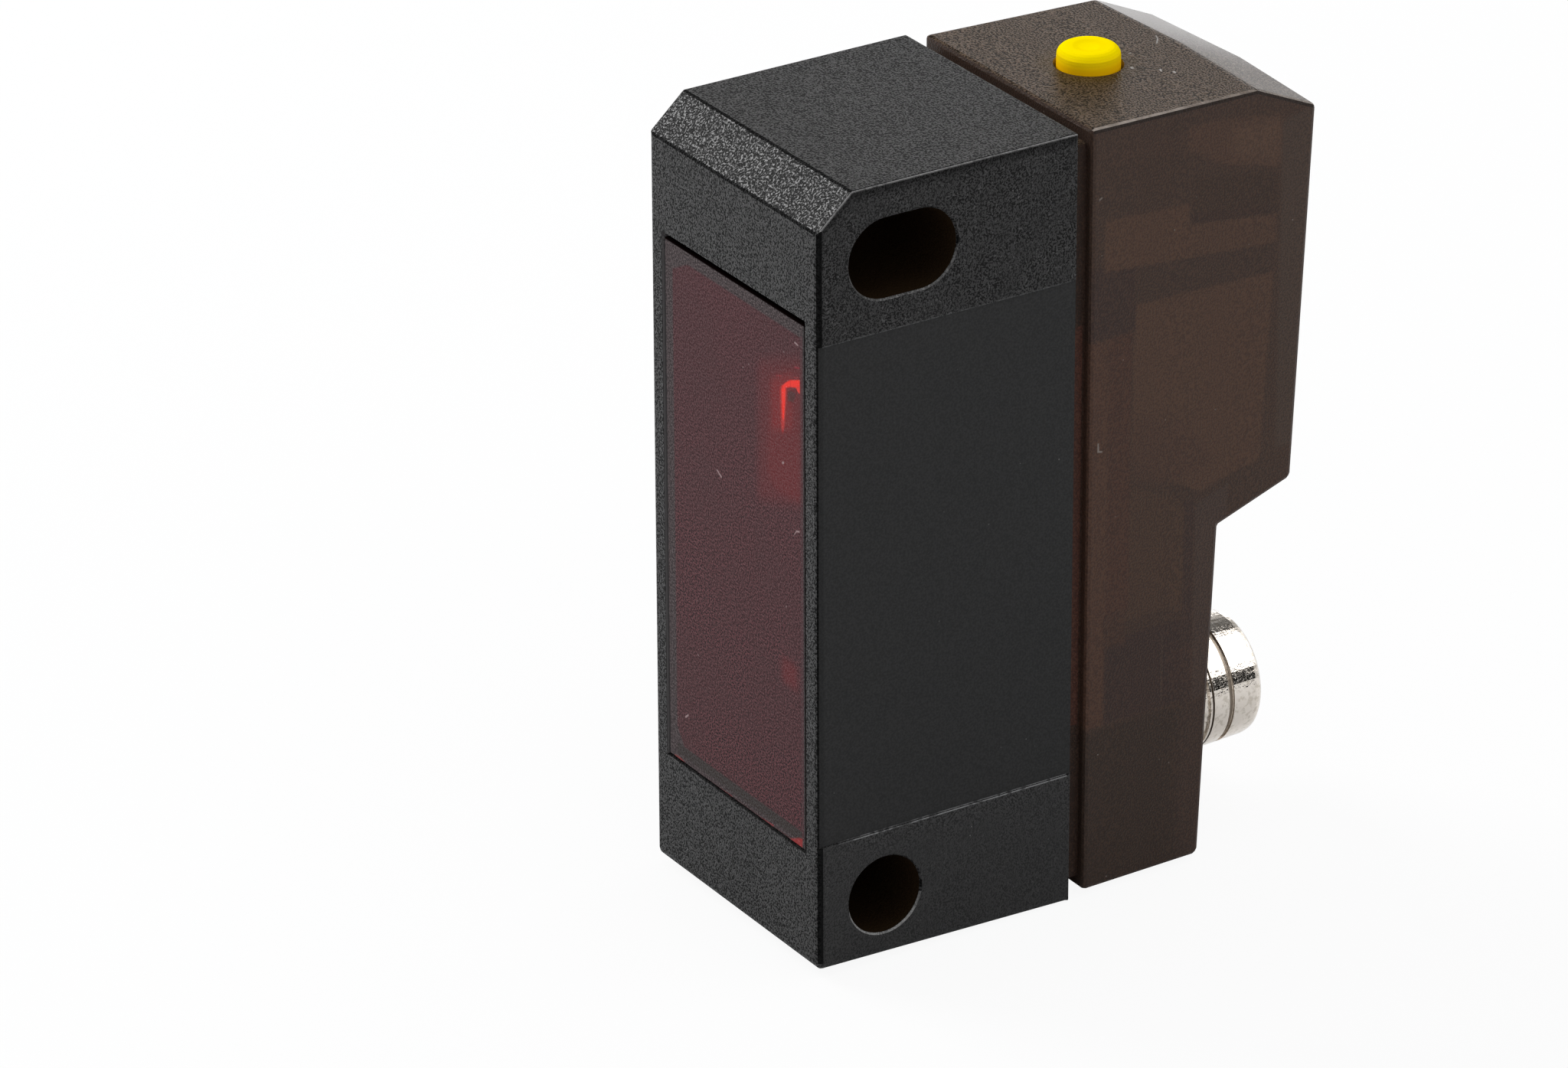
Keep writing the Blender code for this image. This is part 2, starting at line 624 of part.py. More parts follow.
def build_housing_seal(place, origin, material):
    half = place["spigot_half"]
    start = place["rebate_floor"] + SEAT_GAP
    seal = add_object("housing_seal", box_mesh(
        (-half, start, place["spigot_base"]),
        (half, start + HOUSING_SEAL_THICKNESS, place["spigot_top"])), material, origin)
    add_bevel(seal, HOUSING_EDGE_BREAK, segments=1)
    opening = box_mesh(
        (-half + HOUSING_SEAL_WIDTH, start - OVERSHOOT, place["spigot_base"] + HOUSING_SEAL_WIDTH),
        (half - HOUSING_SEAL_WIDTH, start + 2 * OVERSHOOT, place["spigot_top"] - HOUSING_SEAL_WIDTH))
    cut(seal, add_object("cut_seal_opening", opening, None, origin))
    return seal


def build_button(place, origin, material):
    """The button's origin is on its axis, at the height where it leaves the cover."""
    top = BUTTON_STAND
    radius = BUTTON_DIAMETER / 2
    dish = BUTTON_DISH_DIAMETER / 2
    collar_top = place["collar_top"] - place["roof_at_button"]
    collar_base = collar_top - BUTTON_COLLAR_HEIGHT
    stem_end = place["stem_end"] - place["roof_at_button"]
    profile = [(0, top - BUTTON_DISH_DEPTH)]
    for step in range(1, 5):
        reach = step / 4
        profile.append((dish * reach, top - BUTTON_DISH_DEPTH * cos(pi / 2 * reach)))
    for step in range(6):
        angle = pi / 2 * step / 5
        profile.append((
            radius - BUTTON_ROUNDING * (1 - sin(angle)),
            top - BUTTON_ROUNDING * (1 - cos(angle))))
    profile += [
        (radius, collar_top), (BUTTON_COLLAR_DIAMETER / 2, collar_top),
        (BUTTON_COLLAR_DIAMETER / 2, collar_base), (BUTTON_STEM_DIAMETER / 2, collar_base),
        (BUTTON_STEM_DIAMETER / 2, stem_end), (0, stem_end),
    ]
    button = add_object("teach_button", turned_mesh(profile, SEGMENTS_LARGE), material, origin)
    button.location = (0, place["button_y"], place["roof_at_button"])
    shade_round(button)
    return button


def build_plunger(place, button, material):
    radius = PLUNGER_DIAMETER / 2
    top = place["plunger_top"] - place["roof_at_button"]
    profile = [(0, top), (radius * 0.8, top), (radius, top - radius * 0.2),
               (radius, top - PLUNGER_HEIGHT), (0, top - PLUNGER_HEIGHT)]
    plunger = add_object("switch_plunger", turned_mesh(profile, SEGMENTS_SMALL), material, button)
    shade_round(plunger)
    return plunger


def build_switch(place, origin, metal):
    face = place["main_board_face"] + SEAT_GAP
    y = place["button_y"]
    body = box_mesh(
        (face, y - SWITCH_DEPTH / 2, place["switch_base"]),
        (max(face + SWITCH_WIDTH, PLUNGER_DIAMETER), y + SWITCH_DEPTH / 2, place["switch_top"]))
    switch = add_object("tact_switch", body, metal, origin)
    add_bevel(switch, HOUSING_EDGE_BREAK, segments=1)
    radius = PLUNGER_DIAMETER / 2 + PIN_GAP
    depth = PLUNGER_HEIGHT - PLUNGER_STAND + BUTTON_TRAVEL + SEAT_GAP
    well = turned_mesh([(0, 0), (radius, 0), (radius, depth + OVERSHOOT), (0, depth + OVERSHOOT)], SEGMENTS_SMALL)
    bmesh.ops.translate(well, vec=(0, y, place["switch_top"] - depth), verts=well.verts)
    cut(switch, add_object("cut_plunger_well", well, None, origin))
    return switch


def build_button_boot(place, origin, material):
    inner = BUTTON_STEM_DIAMETER / 2 + SEAT_GAP
    base = place["switch_top"] + SEAT_GAP / 2
    outer = inner + BOOT_WALL
    profile = [(inner, base), (outer, base), (outer, base + BOOT_HEIGHT * 0.6),
               (inner + BOOT_WALL * 0.5, base + BOOT_HEIGHT), (inner, base + BOOT_HEIGHT)]
    mesh_data = turned_mesh(profile, SEGMENTS_SMALL)
    bmesh.ops.translate(mesh_data, vec=(0, place["button_y"], 0), verts=mesh_data.verts)
    boot = add_object("button_boot", mesh_data, material, origin)
    shade_round(boot)
    return boot


def build_optics_carrier(place, origin, material):
    """The black frame that holds both lenses and keeps their two light paths apart."""
    half = place["chamber_half"] - CARRIER_SIDE_GAP
    base, top = place["chamber_base"] + CARRIER_SIDE_GAP, place["chamber_top"] - CARRIER_SIDE_GAP
    carrier = add_object("optics_carrier", box_mesh(
        (-half, place["carrier_front"], base), (half, place["carrier_back"], top)), material, origin)
    add_bevel(carrier, HOUSING_EDGE_BREAK, segments=1)
    seats = (
        ("receiver", place["receiver_z"], RECEIVER_LENS_DIAMETER),
        ("emitter", place["emitter_z"], EMITTER_LENS_DIAMETER),
    )
    for name, height, diameter in seats:
        seat_end = place["carrier_front"] + LENS_RIM + LENS_SAG + 2 * LENS_GAP
        profile = [
            (0, place["carrier_front"] - OVERSHOOT), (diameter / 2 + LENS_GAP, place["carrier_front"] - OVERSHOOT),
            (diameter / 2 + LENS_GAP, seat_end), (diameter / 2 - LENS_SEAT_LIP, seat_end),
            (diameter / 2 - LENS_SEAT_LIP, place["carrier_back"] + OVERSHOOT), (0, place["carrier_back"] + OVERSHOOT),
        ]
        bore = place_along_y(turned_mesh(profile, SEGMENTS_LARGE), 0, 0, height)
        cut(carrier, add_object("cut_" + name + "_bore", bore, None, origin))
    return carrier


def build_lens(name, diameter, height, place, origin, material):
    """A plano-convex lens: a flat face to the window and a domed face to the board."""
    radius = diameter / 2
    profile = [(0, 0), (radius, 0), (radius, LENS_RIM)]
    for step in range(1, 7):
        reach = 1 - step / 6
        profile.append((radius * reach, LENS_RIM + LENS_SAG * (1 - reach * reach)))
    front = place["carrier_front"] + LENS_GAP
    lens = add_object(name, place_along_y(turned_mesh(profile, SEGMENTS_LARGE), 0, front, height), material, origin)
    shade_round(lens)
    return lens


def build_emitter(place, origin, material):
    radius = LED_DIAMETER / 2
    rim = LED_HEIGHT - radius
    flange = radius + LED_FLANGE_WIDTH
    profile = [(0, 0), (flange, 0), (flange, LED_FLANGE_HEIGHT), (radius, LED_FLANGE_HEIGHT), (radius, rim)]
    for step in range(1, 7):
        angle = pi / 2 * step / 6
        profile.append((radius * cos(angle), rim + radius * sin(angle)))
    foot = place["optics_board_front"] - SEAT_GAP / 2
    mesh_data = turned_mesh(profile, SEGMENTS_SMALL)
    matrix = Matrix.Translation((0, foot, place["emitter_z"])) @ Matrix.Rotation(radians(90), 4, "X")
    bmesh.ops.transform(mesh_data, matrix=matrix, verts=mesh_data.verts)
    led = add_object("emitter_led", mesh_data, material, origin)
    shade_round(led)
    return led


def build_block(name, low, high, origin, material, rounding=HOUSING_EDGE_BREAK):
    block = add_object(name, box_mesh(low, high), material, origin)
    add_bevel(block, rounding, segments=1)
    return block


def build_boards(place, origin, paint):
    """The three boards and what is soldered to them."""
    front, back = place["optics_board_front"], place["optics_board_back"]
    half = place["pocket_half"] - OPTICS_BOARD_SIDE_GAP
    build_block(
        "optics_board", (-half, front, place["pocket_base"] + OPTICS_BOARD_END_GAP),
        (half, back, place["pocket_top"] - OPTICS_BOARD_END_GAP), origin, paint["board"], BOARD_EDGE_BREAK)

    diode_back = front - SEAT_GAP / 2
    build_block(
        "receiver_diode",
        (-DIODE_WIDTH / 2, diode_back - DIODE_THICKNESS, place["receiver_z"] - DIODE_HEIGHT / 2),
        (DIODE_WIDTH / 2, diode_back, place["receiver_z"] + DIODE_HEIGHT / 2), origin, paint["diode"])

    face = place["main_board_face"]
    board_front = place["main_board_front"]
    board_back = place["inner_wall_y"] + lean_at(COVER_LOWER_LEAN, MAIN_BOARD_BASE) - MAIN_BOARD_CLEARANCE
    board_top = place["main_board_top"]
    board_middle = (MAIN_BOARD_BASE + board_top) / 2
    build_block(
        "main_board", (face - BOARD_THICKNESS, board_front, MAIN_BOARD_BASE),
        (face, board_back, board_top), origin, paint["board"], BOARD_EDGE_BREAK)

    header_base = board_middle - HEADER_HEIGHT / 2
    header_mid = face - BOARD_THICKNESS / 2
    build_block(
        "board_header", (header_mid - HEADER_WIDTH / 2, back + SEAT_GAP, header_base),
        (header_mid + HEADER_WIDTH / 2, board_front - SEAT_GAP, header_base + HEADER_HEIGHT),
        origin, paint["black"])

    chip_y = (board_front + board_back) / 2
    chip_z = board_middle + CHIP_OFFSET
    build_block(
        "signal_chip", (face + SEAT_GAP / 2, chip_y - CHIP_SIZE / 2, chip_z - CHIP_SIZE / 2),
        (face + SEAT_GAP / 2 + CHIP_THICKNESS, chip_y + CHIP_SIZE / 2, chip_z + CHIP_SIZE / 2),
        origin, paint["black"])

    led_y = place["button_y"] - SWITCH_DEPTH / 2 - STATUS_LED_SIZE
    for name, step, colour in (("output_led", 0, "amber"), ("power_led", 1, "green")):
        high = place["switch_top"] - step * STATUS_LED_PITCH
        build_block(
            name, (face + SEAT_GAP / 2, led_y - STATUS_LED_SIZE / 2, high - STATUS_LED_SIZE),
            (face + SEAT_GAP / 2 + STATUS_LED_THICKNESS, led_y + STATUS_LED_SIZE / 2, high),
            origin, paint[colour])


def shell_profile(flange_front, flange_back, end):
    """The shell's section: flange, slightly tapered skin with three grooves, and a rounded nose."""
    nose = end - SHELL_NOSE_LENGTH
    first = end - SHELL_END_BAND
    second = first - SHELL_GROOVE_WIDTH - SHELL_MIDDLE_BAND
    neck = second - SHELL_LINE_WIDTH - SHELL_THIN_BAND
    taper = (SHELL_BASE_RADIUS - SHELL_RADIUS) / (nose - neck + SHELL_NECK_WIDTH)
    profile = [
        (SHELL_BORE_RADIUS, flange_front), (SHELL_FLANGE_RADIUS, flange_front),
        (SHELL_FLANGE_RADIUS, flange_back), (SHELL_BASE_RADIUS, flange_back),
    ]
    for stop, width in ((neck, SHELL_NECK_WIDTH), (second, SHELL_LINE_WIDTH), (first, SHELL_GROOVE_WIDTH)):
        low = SHELL_RADIUS + taper * (nose - stop + width)
        high = SHELL_RADIUS + taper * (nose - stop)
        floor = high - SHELL_GROOVE_DEPTH
        profile += [(low, stop - width), (floor, stop - width), (floor, stop), (high, stop)]
    for step in range(4):
        angle = pi / 2 * step / 3
        profile.append((
            SHELL_RADIUS - SHELL_NOSE_DEPTH * (1 - cos(angle)),
            nose + SHELL_NOSE_LENGTH * sin(angle)))
    profile += [(SHELL_BORE_RADIUS + SHELL_LEAD_IN, end), (SHELL_BORE_RADIUS, end - SHELL_LEAD_IN)]
    return profile


def build_connector(place, origin, paint):
    """The plug socket: shell, insert, pins, sealing ring and the small board behind them."""
    inner_wall = place["inner_wall_y"]
    flange_back = inner_wall - SEAT_GAP - 2 * SEAL_RING_RADIUS - SEAT_GAP
    flange_front = flange_back - SHELL_FLANGE_THICKNESS
    end = CONNECTOR_REACH
    profile = shell_profile(flange_front, flange_back, end)
    shell_mesh = place_along_y(turned_mesh(profile, SEGMENTS_LARGE), 0, 0, CONNECTOR_HEIGHT)
    shell = add_object("connector_shell", shell_mesh, paint["nickel"], origin)
    shade_round(shell)

    insert_front = flange_front + SEAT_GAP
    insert_back = insert_front + INSERT_THICKNESS
    insert_radius = SHELL_BORE_RADIUS - INSERT_GAP
    insert = add_object(
        "connector_insert",
        round_bar(insert_radius, insert_front, insert_back, 0, CONNECTOR_HEIGHT, SEGMENTS_LARGE),
        paint["black"], origin)
    shade_round(insert)

    board_back = flange_front - SEAT_GAP
    board_front = board_back - BOARD_THICKNESS
    board = build_block(
        "pin_board",
        (-PIN_BOARD_WIDTH / 2, board_front, CONNECTOR_HEIGHT - PIN_BOARD_HEIGHT / 2),
        (PIN_BOARD_WIDTH / 2, board_back, CONNECTOR_HEIGHT + PIN_BOARD_HEIGHT / 2),
        origin, paint["board"], BOARD_EDGE_BREAK)

    radius = PIN_DIAMETER / 2
    for number in range(PIN_COUNT):
        angle = 2 * pi * (number + 0.5) / PIN_COUNT
        x = PIN_CIRCLE_RADIUS * cos(angle)
        z = CONNECTOR_HEIGHT + PIN_CIRCLE_RADIUS * sin(angle)
        tail = board_front - PIN_TAIL
        tip = end - PIN_SETBACK
        shape = [(0, 0), (radius, 0), (radius, tip - tail - radius)]
        for step in range(1, 5):
            turn = pi / 2 * step / 4
            shape.append((radius * cos(turn), tip - tail - radius + radius * sin(turn)))
        pin = add_object(
            "contact_pin_%d" % (number + 1),
            place_along_y(turned_mesh(shape, SEGMENTS_TINY), x, tail, z), paint["gold"], origin)
        shade_round(pin)
        for carrier, low, high in ((insert, insert_front, insert_back), (board, board_front, board_back)):
            drill = round_bar(radius + PIN_GAP, low - OVERSHOOT, high + OVERSHOOT, x, z, SEGMENTS_SMALL)
            name = "cut_%s_%d" % (carrier.name, number + 1)
            cut(carrier, add_object(name, drill, None, origin))

    middle = SHELL_BASE_RADIUS + SEAL_RING_GAP + SEAL_RING_RADIUS
    steps = SEGMENTS_TINY // 2
    ring = []
    for step in range(steps):
        angle = -2 * pi * step / steps
        ring.append((middle + SEAL_RING_RADIUS * cos(angle), SEAL_RING_RADIUS * sin(angle)))
    centre = flange_back + SEAT_GAP + SEAL_RING_RADIUS
    seal = add_object(
        "connector_seal",
        place_along_y(turned_mesh(ring, SEGMENTS_LARGE), 0, centre, CONNECTOR_HEIGHT), paint["rubber"], origin)
    shade_round(seal)


def build_sensor():
    clear_scene()
    place = layout()
    origin = bpy.data.objects.new("sensor_origin", None)
    origin.location = (0, -place["reach"] / 2, 0)
    bpy.context.scene.collection.objects.link(origin)
    paint = {
        "housing": make_material("black_housing_plastic", (0.035, 0.035, 0.035), 0.55),
        "window": make_material("dark_red_window", (0.16, 0.03, 0.035), 0.15, transmission=0.6),
        "cover": make_material("smoky_cover_plastic", (0.07, 0.045, 0.035), 0.25, transmission=0.5),
        "button": make_material("yellow_button", (0.9, 0.72, 0.02), 0.4),
        "nickel": make_material("nickel_plating", (0.72, 0.7, 0.67), 0.2, metallic=1.0),
        "gold": make_material("gold_plating", (0.83, 0.62, 0.25), 0.25, metallic=1.0),
        "rubber": make_material("seal_rubber", (0.02, 0.02, 0.02), 0.8),
        "black": make_material("black_moulding", (0.03, 0.03, 0.03), 0.5),
        "board": make_material("board_laminate", (0.02, 0.09, 0.05), 0.45),
        "lens": make_material("lens_plastic", (0.75, 0.75, 0.75), 0.05, transmission=0.9),
        "diode": make_material("diode_package", (0.05, 0.05, 0.07), 0.2),
        "emitter": make_material("emitter_resin", (0.7, 0.2, 0.2), 0.1, transmission=0.5),
        "amber": make_material("amber_lamp", (0.8, 0.5, 0.1), 0.3),
        "green": make_material("green_lamp", (0.2, 0.7, 0.25), 0.3),
        "metal": make_material("switch_metal", (0.5, 0.5, 0.52), 0.35, metallic=1.0),
    }
    build_front_housing(place, origin, paint["housing"])
    build_front_window(place, origin, paint["window"])
    build_rear_cover(place, origin, paint["cover"])
    build_housing_seal(place, origin, paint["rubber"])
    button = build_button(place, origin, paint["button"])
    build_plunger(place, button, paint["black"])
    build_switch(place, origin, paint["metal"])
    build_button_boot(place, origin, paint["rubber"])
    build_optics_carrier(place, origin, paint["black"])
    build_lens("receiver_lens", RECEIVER_LENS_DIAMETER, place["receiver_z"], place, origin, paint["lens"])
    build_lens("emitter_lens", EMITTER_LENS_DIAMETER, place["emitter_z"], place, origin, paint["lens"])
    build_emitter(place, origin, paint["emitter"])
    build_boards(place, origin, paint)
    build_connector(place, origin, paint)


build_sensor()
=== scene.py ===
import bpy
from mathutils import Matrix, Vector


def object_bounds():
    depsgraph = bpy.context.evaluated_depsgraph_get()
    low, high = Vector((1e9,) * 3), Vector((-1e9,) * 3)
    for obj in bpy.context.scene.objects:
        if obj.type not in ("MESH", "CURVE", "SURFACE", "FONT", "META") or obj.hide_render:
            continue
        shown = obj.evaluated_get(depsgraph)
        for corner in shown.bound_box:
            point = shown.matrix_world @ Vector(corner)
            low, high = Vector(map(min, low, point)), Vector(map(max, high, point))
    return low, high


MM = 0.001
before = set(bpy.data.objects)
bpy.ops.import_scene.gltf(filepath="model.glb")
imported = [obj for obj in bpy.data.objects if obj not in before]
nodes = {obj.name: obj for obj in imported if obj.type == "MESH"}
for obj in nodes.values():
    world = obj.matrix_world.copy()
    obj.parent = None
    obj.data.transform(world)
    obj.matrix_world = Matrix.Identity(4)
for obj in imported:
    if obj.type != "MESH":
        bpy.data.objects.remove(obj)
cad_low, cad_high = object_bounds()


class Nodes:
    """A node tree, with short calls for the nodes that the looks are made of. A share is a
    number from 0 to 1, and a value may be a plain number or another node's socket."""

    def __init__(self, tree, place):
        self.tree = tree
        self.tree.nodes.clear()
        self.texture_place = self.add("ShaderNodeTexCoord")
        self.place = self.texture_place.outputs[place]

    def add(self, kind, **settings):
        node = self.tree.nodes.new(kind)
        for key, value in settings.items():
            setattr(node, key, value)
        return node

    def link(self, source, target):
        self.tree.links.new(source, target)

    def feed(self, socket, value):
        if hasattr(value, "is_linked"):
            self.link(value, socket)
        else:
            socket.default_value = value

    # Numbers

    def math(self, operation, first, second=0.0, third=0.0):
        node = self.add("ShaderNodeMath", operation=operation)
        for socket, value in zip(node.inputs, (first, second, third)):
            self.feed(socket, value)
        return node.outputs[0]

    def both(self, *shares):
        """All the shares multiplied."""
        product = shares[0]
        for share in shares[1:]:
            product = self.math("MULTIPLY", product, share)
        return product

    def greatest(self, *shares):
        """The largest of the shares."""
        most = shares[0]
        for share in shares[1:]:
            most = self.math("MAXIMUM", most, share)
        return most

    def weighed(self, base, *terms):
        """The base plus each term (share, amount), multiplied."""
        for share, amount in terms:
            base = self.math("MULTIPLY_ADD", share, amount, base)
        return base

    def blend(self, share, first, second):
        """The first number, going over to the second with the share."""
        return self.math("ADD", self.both(first, self.less(share)), self.both(second, share))

    def spread(self, value, low, high, to_low=0.0, to_high=1.0):
        """Map a value from one range to another, with soft ends."""
        node = self.add("ShaderNodeMapRange", interpolation_type="SMOOTHSTEP")
        names = ("Value", "From Min", "From Max", "To Min", "To Max")
        for name, number in zip(names, (value, low, high, to_low, to_high)):
            self.feed(node.inputs[name], number)
        return node.outputs["Result"]

    def spread_mm(self, value, low, high, to_low=0.0, to_high=1.0):
        """The same for a place, with the range in millimetres."""
        return self.spread(value, low * MM, high * MM, to_low, to_high)

    def less(self, share, left=0.0):
        """1 without the share, and what is left with all of it."""
        return self.spread(share, 0.0, 1.0, 1.0, left)

    def between(self, value, low, high, soft):
        """1 where the value lies in the range, 0 beyond."""
        rise = self.spread(value, low - soft, low + soft)
        return self.both(rise, self.spread(value, high - soft, high + soft, 1.0, 0.0))

    def between_mm(self, value, low, high, soft):
        """The same for a place, with the range in millimetres."""
        return self.between(value, low * MM, high * MM, soft * MM)

    # Patterns and places

    def axes(self, source=None):
        node = self.add("ShaderNodeSeparateXYZ")
        self.link(source or self.place, node.inputs[0])
        return node.outputs

    def along(self, direction):
        node = self.add("ShaderNodeVectorMath", operation="DOT_PRODUCT")
        self.link(self.place, node.inputs[0])
        node.inputs[1].default_value = direction
        return node.outputs["Value"]

    def toward(self, direction, low, high):
        """1 where the place, taken as a direction, points the given way, 0 beyond. The cosine
        of the angle between them is low where it starts and high where it is full."""
        return self.spread(self.along(direction), low, high)

    def inside(self, outline, edge, plane="side"):
        """1 inside a convex outline in millimetres, with soft edges. Its corners run
        anticlockwise: (y, z) in the side plane, (x, z) in the front, (x, y) in the top."""
        shares = []
        for start, end in zip(outline, outline[1:] + outline[:1]):
            run = (Vector(end) - Vector(start)).normalized()
            across, up = -run.y, run.x
            reach = across * start[0] + up * start[1]
            ways = {"side": (0, across, up), "front": (across, 0, up), "top": (across, up, 0)}
            shares.append(self.spread_mm(self.along(ways[plane]), reach - edge, reach + edge))
        return self.both(*shares)

    def noise(self, size, detail=2.0, rough=0.5, stretch=None):
        """Cloudy noise whose features are about this many millimetres across."""
        node = self.add("ShaderNodeTexNoise")
        place = self.place
        if stretch is not None:
            scaled = self.add("ShaderNodeVectorMath", operation="MULTIPLY")
            self.link(place, scaled.inputs[0])
            scaled.inputs[1].default_value = stretch
            place = scaled.outputs["Vector"]
        self.link(place, node.inputs["Vector"])
        node.inputs["Scale"].default_value = 1 / (size * MM)
        node.inputs["Detail"].default_value = detail
        node.inputs["Roughness"].default_value = rough
        return node.outputs["Fac"]

    def specks(self, spacing, radius):
        """1 at the middle of scattered dots, 0 from a little beyond their radius, with both
        sizes in millimetres."""
        node = self.add("ShaderNodeTexVoronoi")
        self.link(self.place, node.inputs["Vector"])
        node.inputs["Scale"].default_value = 1 / (spacing * MM)
        share = radius / spacing
        return self.spread(node.outputs["Distance"], share * 0.5, share * 1.2, 1.0, 0.0)

    def dust(self, spacing, radius, cloud, sparse):
        """Specks that gather in clouds of about this size. A higher `sparse` leaves fewer."""
        clouds = self.spread(self.noise(cloud), sparse, sparse + 0.10)
        return self.both(self.specks(spacing, radius), clouds)

    # Colours, normals and shaders

    def mix(self, share, first, second):
        """The first colour, going over to the second with the share."""
        node = self.add("ShaderNodeMix", data_type="RGBA")
        self.feed(node.inputs[0], share)
        for socket, value in ((node.inputs[6], first), (node.inputs[7], second)):
            self.feed(socket, value if hasattr(value, "is_linked") else (*value, 1.0))
        return node.outputs[2]

    def mix_normals(self, share, first, second):
        node = self.add("ShaderNodeMix", data_type="VECTOR")
        for index, value in ((0, share), (4, first), (5, second)):
            self.feed(node.inputs[index], value)
        return node.outputs[1]

    def mix_shaders(self, share, first, second):
        node = self.add("ShaderNodeMixShader")
        for socket, value in zip(node.inputs, (share, first, second)):
            self.link(value, socket)
        return node.outputs[0]

    def bump(self, height, strength, distance, before=None):
        """A normal from a height, with the distance in millimetres."""
        node = self.add("ShaderNodeBump")
        self.feed(node.inputs["Height"], height)
        node.inputs["Strength"].default_value = strength
        node.inputs["Distance"].default_value = distance * MM
        if before is not None:
            self.link(before, node.inputs["Normal"])
        return node.outputs["Normal"]


class Shade(Nodes):
    """A material with a Principled shader."""

    def __init__(self, name):
        self.material = bpy.data.materials.new(name)
        self.material.use_nodes = True
        super().__init__(self.material.node_tree, "Object")
        self.output = self.add("ShaderNodeOutputMaterial")
        self.shader = self.add("ShaderNodeBsdfPrincipled")
        self.show(self.shader.outputs[0])

    def show(self, surface):
        self.link(surface, self.output.inputs["Surface"])

    def cover_with(self, share, other):
        """Let the Principled shader go over to another one with the share."""
        self.show(self.mix_shaders(share, self.shader.outputs[0], other))

    def set(self, **values):
        for key, value in values.items():
            self.feed(self.shader.inputs[key.replace("_", " ")], value)

    def facing(self):
        """The surface's own normal, in the object's frame."""
        return self.axes(self.texture_place.outputs["Normal"])

    def painted(self, colour, patches, plane="side", within=None):
        """Lay patches (outline, edge, colour, amount) over a colour, each inside its outline."""
        for outline, edge, patch_colour, amount in patches:
            share = self.both(self.inside(outline, edge, plane), amount)
            if within is not None:
                share = self.both(share, within)
            colour = self.mix(share, colour, patch_colour)
        return colour


def dress(name, material):
    mesh = nodes[name].data
    mesh.materials.clear()
    mesh.materials.append(material)


# Camera, solved from the photograph's edges
CAMERA_PLACE = Vector((320.88, -216.40, 203.43)) * MM
CAMERA_RIGHT = Vector((0.5379, 0.8430, -0.0038))
CAMERA_UP = Vector((-0.3639, 0.2362, 0.9010))
CAMERA_FORWARD = Vector((-0.7604, 0.4833, -0.4338))
CAMERA_SENSOR = 36.0
CAMERA_LENS = 189.44
CAMERA_SHIFT = (-0.0015, 0.0115)
CAMERA_CLIP = (0.01, 20.0)


def add_camera():
    data = bpy.data.cameras.new("photo_camera")
    camera = bpy.data.objects.new("photo_camera", data)
    bpy.context.scene.collection.objects.link(camera)
    turn = Matrix((CAMERA_RIGHT, CAMERA_UP, -CAMERA_FORWARD)).transposed()
    turn = turn.to_quaternion().to_matrix().to_4x4()
    camera.matrix_world = Matrix.Translation(CAMERA_PLACE) @ turn
    data.sensor_width = CAMERA_SENSOR
    data.lens = CAMERA_LENS
    data.shift_x, data.shift_y = CAMERA_SHIFT
    data.clip_start, data.clip_end = CAMERA_CLIP
    bpy.context.scene.camera = camera


# Studio: a pale floor, a soft white room and three softboxes
WHITE = (1, 1, 1, 1)
FLOOR_HALF = 1.6
FLOOR_DROP = 0.02 * MM
FLOOR_GREY = (0.87, 0.87, 0.87, 1)
FLOOR_GLOW = 0.92  # how far the camera sees it as white; the rest keeps the shadow


def add_floor():
    mesh = bpy.data.meshes.new("floor")
    half = FLOOR_HALF
    corners = [(-half, -half, 0), (half, -half, 0), (half, half, 0), (-half, half, 0)]
    mesh.from_pydata(corners, [], [(0, 1, 2, 3)])
    floor = bpy.data.objects.new("floor", mesh)
    bpy.context.scene.collection.objects.link(floor)
    floor.location.z = cad_low[2] - FLOOR_DROP
    shade = Shade("pale_floor")
    shade.set(Base_Color=FLOOR_GREY, Roughness=0.9)
    path = shade.add("ShaderNodeLightPath")
    glow = shade.add("ShaderNodeEmission")
    glow.inputs["Color"].default_value = WHITE
    glow.inputs["Strength"].default_value = 1.0
    shade.cover_with(shade.both(path.outputs["Is Camera Ray"], FLOOR_GLOW), glow.outputs[0])
    mesh.materials.append(shade.material)


# Directions in the room, and its brightness for what is glossy
PANEL = (0.418, 0.483, 0.769)
ABOVE = (-0.44, 0.483, 0.758)
BACK_LEFT = (-0.72, 0.69, 0.0)
BEHIND = (0, 1, 0)
END = (0.17, 0.86, 0.48)
GAP = (0.88, 0.47, 0.08)
ROOM_BRIGHT = 0.5
# Its brightness for what is matt
ROOM_TINT = (0.95, 0.97, 1.0, 1)
ROOM_SOFT = 0.55


